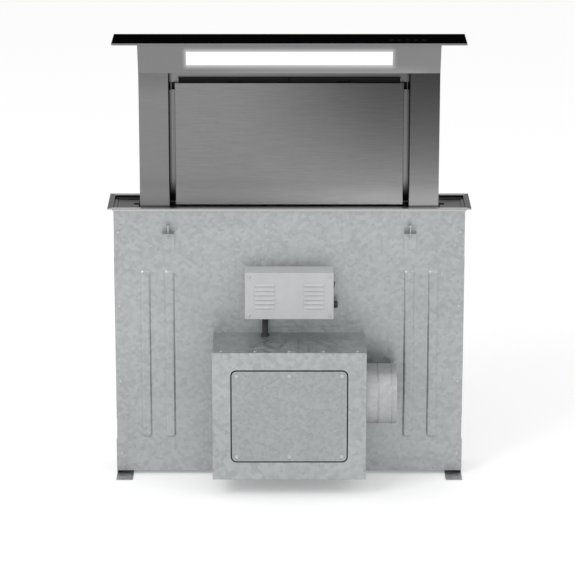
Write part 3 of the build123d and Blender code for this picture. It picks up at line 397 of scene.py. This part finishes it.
def galvanised(name, colour=(0.4, 0.415, 0.42), crystal=110.0, contrast=0.12):
    """Hot-dip galvanised sheet with spangle and a soft matt bloom."""
    made, tree, shader, place = new_finish(name)
    zinc = shared(tree, SPANGLE, place, {"Scale": crystal})
    patch = handled(tree, place, 5.0)
    tone = ranged(tree, zinc["Crystal"], 1 - contrast, 1 + contrast)
    tone = reckoned(tree, "MULTIPLY", tone, ranged(tree, patch, 0.93, 1.06))
    gloss = ranged(tree, zinc["Crystal"], 0.34, 0.52)
    gloss = reckoned(tree, "ADD", gloss, ranged(tree, patch, -0.04, 0.06))
    fed(tree, shader, {"Metallic": 0.85, "Base Color": scaled(tree, colour, tone), "Roughness": gloss,
                       "Normal": skin(tree, zinc["Frost"], 0.12, 0.0005)})
    return made


zinc_sheet = galvanised("Zinc coated sheet")
finished(zinc_sheet, "chassis_front", "chassis_rear", "chassis_side_left", "chassis_side_right",
         "chassis_floor")


def alone(piece):
    """Only this piece is selected and active, out of edit mode."""
    if bpy.context.object and bpy.context.object.mode != "OBJECT":
        bpy.ops.object.mode_set(mode="OBJECT")
    bpy.ops.object.select_all(action="DESELECT")
    if piece:
        piece.select_set(True)
        bpy.context.view_layer.objects.active = piece


def settled(name):
    """Names the piece just added and puts its place into its mesh."""
    piece = bpy.context.object
    piece.name = piece.data.name = name
    bpy.ops.object.transform_apply(location=True, rotation=True, scale=True)
    return piece


def stock(name, low, high):
    """A bar of stock between two corners, the start of a piece."""
    alone(None)
    middle = [(a + b) / 2 for a, b in zip(low, high)]
    bpy.ops.mesh.primitive_cube_add(size=1, location=middle, scale=[b - a for a, b in zip(low, high)])
    return settled(name)


def pick(piece, kind, wanted):
    """Goes into edit mode with the faces or edges chosen whose middle and direction are wanted."""
    alone(piece)
    bpy.ops.object.mode_set(mode="EDIT")
    bpy.ops.mesh.select_mode(type=kind)
    bpy.ops.mesh.select_all(action="DESELECT")
    shape = bmesh.from_edit_mesh(piece.data)
    for item in (shape.faces if kind == "FACE" else shape.edges):
        middle = sum((v.co for v in item.verts), Vector()) / len(item.verts)
        way = item.normal if kind == "FACE" else (item.verts[1].co - item.verts[0].co).normalized()
        if wanted(middle, way):
            item.select_set(True)
    bmesh.update_edit_mesh(piece.data)


def eased(piece, wanted, width, steps=3):
    """The chosen edges are rounded."""
    pick(piece, "EDGE", wanted)
    bpy.ops.mesh.bevel(offset=width, segments=steps, affect="EDGES")
    bpy.ops.object.mode_set(mode="OBJECT")


def in_rows(piece, count, step):
    """Repeats the piece at even steps, each copy with its own faces."""
    alone(piece)
    array = piece.modifiers.new("Row", "ARRAY")
    array.count = count
    array.use_relative_offset = False
    array.use_constant_offset = True
    array.constant_offset_displace = step
    bpy.ops.object.modifier_apply(modifier="Row")


def mirrored(piece):
    """Adds the piece's twin on the other side of the hood."""
    alone(piece)
    mirror = piece.modifiers.new("Twin", "MIRROR")
    mirror.use_mirror_merge = False
    bpy.ops.object.modifier_apply(modifier="Twin")


def fitted(piece, material, body, smooth=35):
    """The piece gets its finish, smooth rounds, the body it moves with and the slot of its finish."""
    alone(piece)
    bpy.ops.object.mode_set(mode="EDIT")
    bpy.ops.mesh.select_all(action="SELECT")
    bpy.ops.mesh.normals_make_consistent(inside=False)
    bpy.ops.object.mode_set(mode="OBJECT")
    bpy.ops.object.shade_smooth_by_angle(angle=math.radians(smooth))
    flats = piece.modifiers.new("Flats", "WEIGHTED_NORMAL")
    flats.keep_sharp = True
    bpy.ops.object.modifier_apply(modifier="Flats")
    piece.data.materials.clear()
    piece.data.materials.append(material)
    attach(piece, body)


def bead(name, low, high, way, corner, slope=0.009):
    """A pressed stiffening bead or field: a flat-topped rise with sloped, rounded sides and ends."""
    piece = stock(name, low, high)
    above_middle = (Vector(low) + Vector(high)).dot(way) / 2 + 0.0014
    eased(piece, lambda at, out: abs(out.dot(way)) > 0.9, corner, 5)
    pick(piece, "FACE", lambda at, out: out.dot(way) > 0.9)
    shrink = [1 if abs(w) > 0.9 else 1 - slope / (b - a) for w, a, b in zip(way, low, high)]
    bpy.ops.transform.resize(value=shrink)
    bpy.ops.object.mode_set(mode="OBJECT")
    eased(piece, lambda at, out: at.dot(way) > above_middle, 0.0015)
    return piece


face_x, face_y, pressed = 0.4354, 0.0594, 0.0031
bead_pitch, field_pitch = 0.06, 0.27
bead_low, bead_high = (0.286, -face_y - pressed, -0.6), (0.312, -face_y, -0.16)
front_beads = bead("front_beads", bead_low, bead_high, Vector((0, -1, 0)), corner=0.008)
in_rows(front_beads, 2, (bead_pitch, 0, 0))
mirrored(front_beads)
fitted(front_beads, zinc_sheet, "chassis")
field_low, field_high = (-0.4, face_y, -0.6), (-0.14, face_y + pressed, -0.14)
rear_fields = bead("rear_fields", field_low, field_high, Vector((0, 1, 0)), corner=0.02, slope=0.013)
in_rows(rear_fields, 3, (field_pitch, 0, 0))
fitted(rear_fields, zinc_sheet, "chassis")
bead_low, bead_high = (face_x, -0.028, -0.57), (face_x + pressed, 0.028, -0.13)
side_beads = bead("side_beads", bead_low, bead_high, Vector((1, 0, 0)), corner=0.012)
mirrored(side_beads)
fitted(side_beads, zinc_sheet, "chassis")


# Feet, clamps and their screws. Pressed feet and slotted clamp brackets in thicker zinc-coated
# strip, held by zinc-plated pan-head screws.
def plain_metal(name, colour, rough, size, draw=(1, 1, 1), contrast=0.08, metallic=1.0, coarse=0.2):
    """Machined, cast or plated metal: fine tool marks or blasted grain, with slight tarnish."""
    made, tree, shader, place = new_finish(name)
    marks = noise(tree, stretched(tree, place, draw), size, 4.0, 0.6)
    patch = handled(tree, place, 25.0)
    tone = ranged(tree, marks, 1 - contrast, 1 + contrast, 0.3, 0.7)
    tone = reckoned(tree, "MULTIPLY", tone, ranged(tree, patch, 0.94, 1.05))
    fed(tree, shader, {"Metallic": metallic, "Base Color": scaled(tree, colour, tone),
                       "Roughness": ranged(tree, patch, rough - 0.05, rough + 0.07),
                       "Normal": skin(tree, marks, coarse, 0.0003)})
    return made


foot_zinc = galvanised("Zinc coated strip", (0.43, 0.44, 0.445), 150.0, 0.08)
finished(foot_zinc, "floor_bracket_left", "floor_bracket_right", "worktop_clamps")
zinc_plate = plain_metal("Zinc plated screws", (0.5, 0.51, 0.5), 0.28, 700.0)
finished(zinc_plate, "chassis_screws", "tower_screws")


# Lift guides and drive. Hard-chromed rods in cast clamps, nylon guide blocks, cut steel racks and
# pinions on one cross shaft, turned by a small motor through a die-cast gearbox.
def moulded(name, colour, rough, size=1800.0, relief=0.25, coat=0.0):
    """Injection-moulded plastic: spark-eroded skin, faint flow patches and soft moulded edges."""
    made, tree, shader, place = new_finish(name)
    grain = noise(tree, place, size, 2.0)
    tone = ranged(tree, handled(tree, place, 18.0), 0.95, 1.05)
    fed(tree, shader, {"Coat Weight": coat, "Base Color": scaled(tree, colour, tone),
                       "Roughness": ranged(tree, grain, rough - 0.05, rough + 0.07, 0.3, 0.7),
                       "Normal": skin(tree, grain, relief, 0.0005, 0.0001)})
    return made


rod_chrome = plain_metal("Hard chrome", (0.62, 0.63, 0.64), 0.12, 300.0, (6, 6, 0.4), 0.03, coarse=0.04)
casting = plain_metal("Blasted casting", (0.42, 0.43, 0.435), 0.45, 1300.0, contrast=0.1, coarse=0.45)
machined = plain_metal("Machined steel", (0.3, 0.3, 0.305), 0.32, 420.0, (1, 1, 6), 0.1)
black_nylon = moulded("Black nylon", (0.03, 0.03, 0.032), 0.5)
stoved_black = powder_coat("Stoved motor paint", (0.035, 0.035, 0.037), 0.38, 900.0)
finished(rod_chrome, "guide_rod_left", "guide_rod_right")
finished(casting, "rod_clamps", "lift_gearbox")
finished(machined, "rack_left", "rack_right", "cross_shaft", "pinion_left", "pinion_right", "mast_left",
         "mast_right", "carriage_crossbar")
finished(black_nylon, "guide_blocks_left", "guide_blocks_right", "cable_gland")
finished(stoved_black, "lift_motor")


# Fan box and its hatch. A zinc-coated box on the front of the chassis has a pressed front with a
# rounded hatch, which lies on a black gasket and is held by six pan-head screws.
def worked_from(node_name, name):
    """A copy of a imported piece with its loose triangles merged, to be worked on."""
    alone(frame["nodes"][node_name])
    bpy.ops.object.duplicate(linked=False)
    piece = bpy.context.object
    piece.name = piece.data.name = name
    bpy.ops.object.parent_clear(type="CLEAR_KEEP_TRANSFORM")
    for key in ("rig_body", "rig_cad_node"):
        del piece[key]
    bpy.ops.object.mode_set(mode="EDIT")
    bpy.ops.mesh.select_all(action="SELECT")
    bpy.ops.mesh.remove_doubles(threshold=0.00001)
    bpy.ops.mesh.dissolve_limited(angle_limit=0.002)
    bpy.ops.object.mode_set(mode="OBJECT")
    bpy.ops.mesh.customdata_custom_splitnormals_clear()
    return piece


near = 0.0001
box_low, box_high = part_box("blower_box")
box_half, box_middle, box_half_height = 0.19, -0.487, 0.165
box_sheet, box_flange = 0.0012, -0.07
front_border, step_width, step_outside, step_inside = 0.024, 0.005, 0.0018, 0.0017
hatch_half, hatch_foot, hatch_head, hatch_corner = 0.142, -0.604, -0.37, 0.012
gasket_border, gasket_corner = 0.0032, 0.0145
hatch_front, gasket_front, hatch_back = box_low.y + 0.0008, box_low.y + 0.0013, box_low.y + 0.0019
screw_columns, screw_rows, screw_foot = 0.13, 0.21, -0.592


def on_outer_fold(at, way):
    """An outer fold of the fan box, which two of its outer faces share."""
    faces = (abs(abs(at.x) - box_half) < near, at.y < box_low.y + near,
             abs(abs(at.z - box_middle) - box_half_height) < near)
    return at.y < box_flange and sum(faces) == 2


fan_box = worked_from("blower_box", "fan_box_pressed")
pick(fan_box, "FACE", lambda at, out: out.y < -0.99 and at.y < box_low.y + near)
bpy.ops.mesh.inset(thickness=front_border, depth=0)
bpy.ops.mesh.inset(thickness=step_width, depth=-step_outside)
pick(fan_box, "FACE", lambda at, out: out.y > 0.99 and abs(at.y - box_low.y - box_sheet) < near)
bpy.ops.mesh.inset(thickness=front_border - box_sheet, depth=0)
bpy.ops.mesh.inset(thickness=step_width, depth=step_inside)
bpy.ops.object.mode_set(mode="OBJECT")
eased(fan_box, on_outer_fold, 0.0018, 4)
fitted(fan_box, galvanised("Fan box sheet", crystal=95.0), "chassis")
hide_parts("blower_box")
gasket = stock("fan_hatch_gasket", (-hatch_half - gasket_border, gasket_front, hatch_foot - gasket_border),
               (hatch_half + gasket_border, hatch_back, hatch_head + gasket_border))
eased(gasket, lambda at, way: abs(way.y) > 0.9, gasket_corner, 5)
fitted(gasket, foam("Hatch gasket", (0.022, 0.022, 0.023), 1600), "chassis")
hatch = stock("fan_hatch", (-hatch_half, hatch_front, hatch_foot), (hatch_half, hatch_back, hatch_head))
eased(hatch, lambda at, way: abs(way.y) > 0.9, hatch_corner, 5)
eased(hatch, lambda at, way: at.y < hatch_front + near, 0.0004, 2)
hatch_sheet = galvanised("Hatch sheet", (0.36, 0.373, 0.378), 150.0, 0.1)
fitted(hatch, hatch_sheet, "chassis")


def pan_screw(name, at, way, radius, height):
    """A pan-head screw or a rivet seen from outside: a domed head with a socket, standing on a sheet."""
    alone(None)
    turn = Vector((0, 0, 1)).rotation_difference(way).to_euler()
    bpy.ops.mesh.primitive_cylinder_add(vertices=20, radius=radius, depth=height, rotation=turn,
                                        location=Vector(at) + way * height / 2)
    head = settled(name)
    top = Vector(at).dot(way) + height - near
    eased(head, lambda mid, out: mid.dot(way) > top, height * 0.55)
    pick(head, "FACE", lambda mid, out: out.dot(way) > 0.99 and mid.dot(way) > top)
    bpy.ops.mesh.inset(thickness=radius * 0.3, depth=0)
    bpy.ops.mesh.inset(thickness=radius * 0.05, depth=-height * 0.6)
    bpy.ops.object.mode_set(mode="OBJECT")
    return head


first_screw = (-screw_columns, hatch_front + near, screw_foot)
hatch_screws = pan_screw("hatch_screws", first_screw, Vector((0, -1, 0)), radius=0.0045, height=0.0008)
in_rows(hatch_screws, 3, (screw_columns, 0, 0))
in_rows(hatch_screws, 2, (0, 0, screw_rows))
fitted(hatch_screws, zinc_plate, "chassis", smooth=50)

# Fan and its outlet. The box's top is lapped over its front and riveted. Inside are a black moulded
# scroll, the wheel and its motor; outside, a riveted round collar with two ribs rolled into it and
# two white flaps that fall shut.
outlet_middle = Vector((0.1912, -0.1445, -0.454))
flange_rivet_y, flange_rivet_z = 0.0393, 0.068
rib_radius, rib_half_width, rib_pitch = 0.0752, 0.0014, 0.034
rib_place = (0.2545, outlet_middle.y, outlet_middle.z)
rivet_pitch, rivet_row, rivet_inset = 0.084, -0.216, 0.014
first_rivet = (-2 * rivet_pitch, rivet_row, box_high.z - rivet_inset)
rivets = pan_screw("fan_box_rivets", first_rivet, Vector((0, 0, 1)), radius=0.0042, height=0.0016)
in_rows(rivets, 5, (rivet_pitch, 0, 0))
fitted(rivets, zinc_plate, "chassis", smooth=50)
outlet_sheet = galvanised("Outlet sheet", (0.42, 0.43, 0.435), 140.0, 0.08)
finished(moulded("Scroll moulding", (0.035, 0.036, 0.038), 0.5, 900.0, 0.35), "scroll_housing")
finished(moulded("Wheel moulding", (0.045, 0.046, 0.05), 0.38, 1400.0), "impeller")
finished(stoved_black, "blower_motor")
finished(outlet_sheet, "duct_collar")


def around(piece, count, middle, axis):
    """Repeats the piece evenly round an axis, each copy with its own faces."""
    copies = [piece]
    for step in range(1, count):
        alone(piece)
        bpy.ops.object.duplicate(linked=False)
        bpy.ops.transform.rotate(value=step * math.tau / count, orient_axis=axis, center_override=middle)
        bpy.ops.object.transform_apply(location=True, rotation=True, scale=True)
        copies.append(bpy.context.object)
    alone(piece)
    for copy in copies:
        copy.select_set(True)
    bpy.ops.object.join()


first_rivet = outlet_middle + Vector((0, flange_rivet_y, flange_rivet_z))
collar_rivets = pan_screw("collar_rivets", first_rivet, Vector((1, 0, 0)), radius=0.003, height=0.0014)
around(collar_rivets, 6, outlet_middle, "X")
fitted(collar_rivets, zinc_plate, "chassis", smooth=50)
alone(None)
bpy.ops.mesh.primitive_torus_add(location=rib_place, rotation=(0, math.radians(90), 0), major_segments=120,
                                 minor_segments=12, major_radius=rib_radius, minor_radius=rib_half_width)
rolled_rib = settled("collar_rolled_rib")
in_rows(rolled_rib, 2, (-rib_pitch, 0, 0))
fitted(rolled_rib, outlet_sheet, "chassis", smooth=60)
finished(moulded("White flap moulding", (0.72, 0.72, 0.7), 0.42), "damper_front", "damper_rear")

# Control box. A grey moulded box on the chassis front, with a screwed cover whose two banks of
# hoods let the board's warm air out.
cover_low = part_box("control_box_cover")[0]
cover_round = 0.0012
box_grey = moulded("Light grey moulding", (0.5, 0.51, 0.52), 0.48, 1200.0, 0.35)
finished(box_grey, "control_box")
cover = worked_from("control_box_cover", "control_cover_moulded")
eased(cover, lambda at, way: at.y < cover_low.y + near, cover_round)
fitted(cover, box_grey, "chassis")
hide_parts("control_box_cover")
screw_x, screw_z, screw_rise = 0.1, -0.26, 0.1
first_screw = (-screw_x, cover_low.y, screw_z)
cover_screws = pan_screw("cover_screws", first_screw, Vector((0, -1, 0)), radius=0.0035, height=0.0018)
in_rows(cover_screws, 2, (2 * screw_x, 0, 0))
in_rows(cover_screws, 2, (0, 0, screw_rise))
fitted(cover_screws, zinc_plate, "chassis", smooth=50)
hood_front, hood_back, hood_foot, hood_head = -0.1205, -0.1174, -0.184, -0.178
hood_left, hood_right, hood_slope, hood_round = -0.086, -0.036, 0.0026, 0.0012
hood_pitch, bank_pitch = 0.0115, 0.122
hoods = stock("cover_hoods", (hood_left, hood_front, hood_foot), (hood_right, hood_back, hood_head))
pick(hoods, "EDGE", lambda at, way: at.y < hood_front + 0.0005 and at.z > hood_head - 0.001)
bpy.ops.transform.translate(value=(0, hood_slope, 0))
bpy.ops.object.mode_set(mode="OBJECT")
eased(hoods, lambda at, way: at.y < hood_front + 0.002 and abs(way.x) < 0.9, hood_round)
in_rows(hoods, 6, (0, 0, -hood_pitch))
in_rows(hoods, 2, (bank_pitch, 0, 0))
fitted(hoods, box_grey, "chassis", smooth=50)

# Fan conduit. A short ribbed black tube carries the fan's wires from the control box down into the
# fan box, with a hexagonal nut at each end.
conduit_x, conduit_y, conduit_top, conduit_foot = -0.06, -0.088, -0.27, -0.322
conduit_radius, ring_pitch, ring_count, ring_round = 0.0075, 0.003, 17, 0.0012
nut_radius, nut_height = 0.0125, 0.0045
alone(None)
bpy.ops.mesh.primitive_cylinder_add(vertices=24, radius=conduit_radius, depth=ring_pitch,
                                    location=(conduit_x, conduit_y, conduit_top - ring_pitch / 2))
conduit = settled("fan_conduit")
eased(conduit, lambda at, way: abs(way.z) < 0.1, ring_round)
in_rows(conduit, ring_count, (0, 0, -ring_pitch))
fitted(conduit, black_nylon, "chassis", smooth=50)
for end, middle in (("top", conduit_top - nut_height / 2), ("foot", conduit_foot + nut_height / 2)):
    alone(None)
    bpy.ops.mesh.primitive_cylinder_add(vertices=6, radius=nut_radius, depth=nut_height,
                                        location=(conduit_x, conduit_y, middle))
    nut = settled("conduit_nut_" + end)
    eased(nut, lambda at, way: True, 0.0008, 2)
    fitted(nut, black_nylon, "chassis")


# Boards and switch. Green laminate boards under the glass and in the control box, and a glossy
# black rocker beside the cable's gland.
def solder_mask(name):
    """Green laminate with pale copper tracks under the lacquer, and thin dust."""
    made, tree, shader, place = new_finish(name)
    upright = node(tree, "Mapping", {"Vector": place, "Rotation": (math.radians(90), 0, 0)}).outputs[0]
    tracks = {"Vector": upright, "Scale": 90.0, "Mortar Size": 0.06, "Mortar Smooth": 0.1,
              "Color1": (0.012, 0.09, 0.035, 1), "Color2": (0.014, 0.105, 0.04, 1),
              "Mortar": (0.05, 0.24, 0.09, 1)}
    lacquer = node(tree, "TexBrick", tracks).outputs["Color"]
    tone = ranged(tree, handled(tree, place, 30.0), 0.9, 1.1)
    fed(tree, shader, {"Base Color": scaled(tree, lacquer, tone), "Roughness": 0.35})
    return made


finished(solder_mask("Green laminate"), "control_board", "touch_board")
finished(moulded("Glossy black moulding", (0.014, 0.014, 0.015), 0.2, 2400.0, 0.05, 0.4), "mains_switch")

# Tower. Two folded column covers and a back sheet in line-brushed stainless steel, screwed to the
# masts; the grain runs level round every fold.
level_grain = (12, 12, 430)
even = (1.0, 1.0)
# Painted light: the foot of each column and of the panel is painted up to 1.9 times brighter.
lit_foot = ("Z", 0.006, 0.056, 1.9)
dull_foot = (0.07, 0.35)
column_grey = (0.2, 0.2, 0.2)
left_sides, right_sides = (-0.38, -0.29), (0.29, 0.38)
# Painted light and shade on the columns: the left one a little lighter overall and darker low down, the right
# one much lighter at its foot and much darker at its top.
left_tones = ((left_sides, (-0.01, 0.33), (1.1, 1.1), (1.05, 1.05)),
              (left_sides, (0.04, 0.24), (0.92, 0.92), even))
right_tones = ((right_sides, (-0.05, 0.34), (1.85, 1.85), (0.23, 0.23)),
               (right_sides, (0.0, 0.09), (1.25, 1.25), even))
# Painted shade under the head, on the left column.
painted_shade_under_head = ("Z", 0.33, 0.26, 0.8)
finished(brushed("Left column steel", column_grey, level_grain, contrast=0.11, painted_tones=left_tones,
                 painted_fades=(lit_foot, painted_shade_under_head), foot=dull_foot), "column_left")
finished(brushed("Right column steel", column_grey, level_grain, contrast=0.11, painted_tones=right_tones,
                 painted_fades=(lit_foot,), foot=dull_foot), "column_right")
finished(brushed("Back sheet steel", (0.24, 0.24, 0.242), level_grain, 0.36), "back_panel")

# Filter surround. A recessed steel frame behind the panel, with narrow lips along its sides above and
# below the catch holes. Painted light and shade in its colour lighten it towards the lower right, darken
# it towards the upper right, and darken its foot, its strips beside the columns, its depth and the steel
# over the air slot.
slot_ends = ((-0.2775, -0.2725), (0.2725, 0.2775))
slot_edge, slot_inside = (0.3155, 0.3205), (0.309, 0.3125)
# Painted shade over the air slot: the shaded stretches darken it, and the unshaded ones undo that darkening
# beyond the slot's ends and below it.
shaded, unshaded = (1.0, 0.3), (1.0, 3.33)
surround_tones = (((-0.29, 0.29), (0.0, 0.33), (1.05, 1.6), (1.1, 0.62)),
                  (slot_ends[0], slot_edge, shaded, even), (slot_ends[1], slot_edge, unshaded, even),
                  (slot_ends[0], slot_inside, unshaded, even), (slot_ends[1], slot_inside, shaded, even))
surround_fades = (("Z", 0.012, 0.064, 0.04), ("+X", 0.2968, 0.2885, 0.44), ("Y", 0.0136, 0.0133, 0.09))
surround_steel = brushed("Surround steel", (0.2, 0.2, 0.2), level_grain, 0.4, painted_tones=surround_tones,
                         painted_fades=surround_fades)
finished(surround_steel, "filter_surround")
lip_front, lip_back = 0.0121, 0.0131
for side, left, right in (("left", -0.2964, -0.2924), ("right", 0.2924, 0.2968)):
    for part, foot, head in (("low", -0.0055, 0.2838), ("high", 0.3042, 0.3282)):
        lip = stock("surround_lip_%s_%s" % (side, part), (left, lip_front, foot), (right, lip_back, head))
        fitted(lip, surround_steel, "carriage")

# Filters. Two lift-out cassettes of channel round three layers of expanded aluminium mesh, each held
# by a sprung catch. The channel and the catches are coloured near-black as painted shade.
channel = plain_metal("Channel darkened as painted shade", (0.008, 0.008, 0.0085), 0.5, 340.0, (0.5, 4, 4), metallic=0.0)
catch_black = moulded("Catch darkened as painted shade", (0.01, 0.01, 0.011), 0.6)
for dull_finish in (channel, catch_black):
    dull_finish.node_tree.nodes["Principled BSDF"].inputs["Specular IOR Level"].default_value = 0.15
finished(channel, "filter_frame_left", "filter_frame_right")
finished(catch_black, "filter_latch_left", "filter_latch_right")
strand = plain_metal("Expanded aluminium", (0.36, 0.365, 0.37), 0.34, 900.0, contrast=0.15)
strand_thickness = 0.0011
meshes_across, meshes_up = 22, 46
weave_foot, weave_head, weave_border = 0.03, 0.2948, 0.001
layer_depths = (0.0183, 0.0202, 0.0221)


def expanded_layer(name, left, right, depth, extra):
    """One layer of expanded mesh: a poked grid without its level and upright edges, made into strands."""
    alone(None)
    bpy.ops.mesh.primitive_grid_add(x_subdivisions=meshes_across + extra, size=1,
                                    y_subdivisions=meshes_up + 2 * extra,
                                    location=((left + right) / 2, depth, (weave_foot + weave_head) / 2),
                                    rotation=(math.radians(90), 0, 0))
    bpy.context.object.scale = (right - left, weave_head - weave_foot, 1)
    layer = settled(name)
    bpy.ops.object.mode_set(mode="EDIT")
    bpy.ops.mesh.select_all(action="SELECT")
    bpy.ops.mesh.poke()
    pick(layer, "EDGE", lambda at, way: (max(abs(way.x), abs(way.z)) > 0.99
                                         and left + weave_border < at.x < right - weave_border
                                         and weave_foot + weave_border < at.z < weave_head - weave_border))
    bpy.ops.mesh.dissolve_edges(use_verts=False)
    bpy.ops.object.mode_set(mode="OBJECT")
    wires = layer.modifiers.new("Strands", "WIREFRAME")
    wires.thickness = strand_thickness
    wires.use_even_offset = False
    bpy.ops.object.modifier_apply(modifier="Strands")
    return layer


for side, left, right in (("left", -0.2545, -0.0185), ("right", 0.0185, 0.2545)):
    layers = [expanded_layer("filter_weave_%s_%d" % (side, extra), left, right, depth, extra)
              for extra, depth in enumerate(layer_depths)]
    alone(layers[0])
    for layer in layers:
        layer.select_set(True)
    bpy.ops.object.join()
    weave = bpy.context.object
    weave.name = weave.data.name = "filter_weave_" + side
    fitted(weave, strand, "carriage", smooth=20)
    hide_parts("filter_mesh_" + side)

# Front panel. One folded sheet of line-brushed stainless steel that hinges forward at its foot for
# cleaning; air passes round all its edges. Painted reflection and shade in its colour darken it to the
# upper right and lighten it towards its foot, and painted shade darkens its side edges.
panel_tones = (((-0.22, 0.28), (-0.01, 0.31), (0.98, 1.4), (0.98, 0.31)),
               ((-0.15, 0.28), (0.0, 0.085), (1.02, 1.22), even))
panel_fades = (lit_foot, ("+X", 0.2826, 0.2806, 0.55), ("+X", 0.2845, 0.2835, 0.12))
finished(brushed("Front panel steel", (0.22, 0.22, 0.22), level_grain, 0.35, 0.16, panel_tones,
                 panel_fades, foot=dull_foot), "front_panel")

# Light head. A folded steel shell leans forward over the panel and holds an opal acrylic window
# with a white light strip behind it; the window stands a hair below the steel.
glow_half_width, glow_half_height, glow_level = 0.252, 0.0195, 0.3688
glow_reach, glow_fall, glow_peak = 0.016, 2.6, 2.6
window_half, window_foot, window_head, window_edge = 0.2549, 0.3489, 0.3887, 0.005
window_white, window_base, window_edge_glow = (1.0, 1.0, 0.985), (0.34, 0.34, 0.335), 0.12
# Painted light and shade on the head's steel: lighter overall and along its lower edge from the middle
# rightwards, darker again at the lower right corner; the window glow paints light round the window.
head_tones = (((-0.372, 0.372), (0.328, 0.406), (1.12, 1.2), (1.1, 1.1)),
              ((-0.3, -0.02), (0.328, 0.352), (1.0, 1.32), even),
              ((0.29, 0.372), (0.328, 0.352), (1.0, 0.78), even))


def distance(tree, across, along):
    """How far off a point lies, from how far off it lies in each of two directions."""
    gap = node(tree, "CombineXYZ", {0: across, 1: along}).outputs[0]
    return node(tree, "VectorMath", {0: gap}, operation="LENGTH").outputs["Value"]


def window_glow(tree, axes):
    """The light that the lit window throws on the steel round it, as a factor for its colour."""
    side = reckoned(tree, "SUBTRACT", reckoned(tree, "ABSOLUTE", axes["X"]), glow_half_width)
    rise = reckoned(tree, "ABSOLUTE", reckoned(tree, "SUBTRACT", axes["Z"], glow_level))
    rise = reckoned(tree, "SUBTRACT", rise, glow_half_height)
    away = distance(tree, reckoned(tree, "MAXIMUM", side, 0.0), reckoned(tree, "MAXIMUM", rise, 0.0))
    lit = reckoned(tree, "POWER", ranged(tree, away, 1.0, 0.0, 0.0, glow_reach), glow_fall)
    return ranged(tree, lit, 1.0, glow_peak)


def opal(name):
    """Frosted acrylic lit from behind: white over the strip, dimmer in a narrow band at its edges."""
    made, tree, shader, place = new_finish(name)
    axes = node(tree, "SeparateXYZ", {0: place}).outputs
    side = reckoned(tree, "SUBTRACT", window_half, reckoned(tree, "ABSOLUTE", axes["X"]))
    foot = reckoned(tree, "SUBTRACT", axes["Z"], window_foot)
    head = reckoned(tree, "SUBTRACT", window_head, axes["Z"])
    inward = reckoned(tree, "MINIMUM", reckoned(tree, "MINIMUM", side, foot), head)
    lit = ranged(tree, inward, window_edge_glow, 1.0, 0.0, window_edge, "SMOOTHSTEP")
    frost = ranged(tree, noise(tree, place, 500.0, 2.0), 0.97, 1.03)
    tone = reckoned(tree, "MULTIPLY", lit, frost)
    fed(tree, shader, {"Emission Color": scaled(tree, window_white, tone), "Emission Strength": 1.3,
                       "Base Color": scaled(tree, window_base, frost), "Roughness": 0.5})
    return made


finished(brushed("Head steel", (0.2, 0.2, 0.2), (6, 200, 800), 0.36, 0.05, head_tones,
                 glow=window_glow), "head_shell")
finished(moulded("White moulding", (0.75, 0.75, 0.73), 0.4), "led_tray")
finished(moulded("Driver moulding", (0.7, 0.7, 0.68), 0.45), "led_driver")
finished(opal("Opal window"), "led_lens")

# Cap. A shallow steel tray with a rolled lower edge carries a sheet of black-backed glass, flush
# with its rim; touch keys work through the glass from a small board beneath.
key_count, first_key, key_pitch, keys_y = 5, 0.25, 0.02, -0.015
ring_radius, ring_line = 0.0045, 0.0007
enamel_black, ring_grey = (0.0003, 0.0003, 0.00033), (0.07, 0.07, 0.07)
wiped_along = (12, 160, 160)


def key_rings(tree, place):
    """One on a row of small rings printed under the glass, one ring for each key, and nought elsewhere."""
    axes = node(tree, "SeparateXYZ", {0: place}).outputs
    along = reckoned(tree, "SUBTRACT", axes["X"], first_key)
    number = reckoned(tree, "ROUND", reckoned(tree, "DIVIDE", along, key_pitch))
    number = reckoned(tree, "MINIMUM", reckoned(tree, "MAXIMUM", number, 0.0), key_count - 1)
    across = reckoned(tree, "SUBTRACT", along, reckoned(tree, "MULTIPLY", number, key_pitch))
    away = distance(tree, across, reckoned(tree, "SUBTRACT", axes["Y"], keys_y))
    gap = reckoned(tree, "ABSOLUTE", reckoned(tree, "SUBTRACT", away, ring_radius))
    return reckoned(tree, "LESS_THAN", gap, ring_line / 2)


def backed_glass(name):
    """Glass enamelled black on its underside, with key rings in the enamel and faint wiping marks on top."""
    made, tree, shader, place = new_finish(name)
    enamel = scaled(tree, enamel_black, ranged(tree, handled(tree, place, 9.0), 0.8, 1.2))
    printed = node(tree, "Mix", {0: key_rings(tree, place), 4: enamel, 5: ring_grey}, data_type="VECTOR")
    wiped = noise(tree, stretched(tree, place, wiped_along), 1.0, 3.0)
    fed(tree, shader, {"Base Color": printed.outputs[1], "Specular IOR Level": 0.00004,
                       "Roughness": ranged(tree, wiped, 0.05, 0.12, 0.3, 0.7)})
    return made


finished(brushed("Cap rim steel", (0.21, 0.21, 0.212), long_grain, 0.28), "cap_tray")
glass_low, glass_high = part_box("cap_glass")
pane = stock("cap_glass_pane", glass_low, glass_high)
eased(pane, lambda at, way: abs(way.z) > 0.9, 0.0015)
eased(pane, lambda at, way: at.z > glass_high.z - near, 0.0005)
fitted(pane, backed_glass("Black backed glass"), "carriage", smooth=30)
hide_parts("cap_glass")
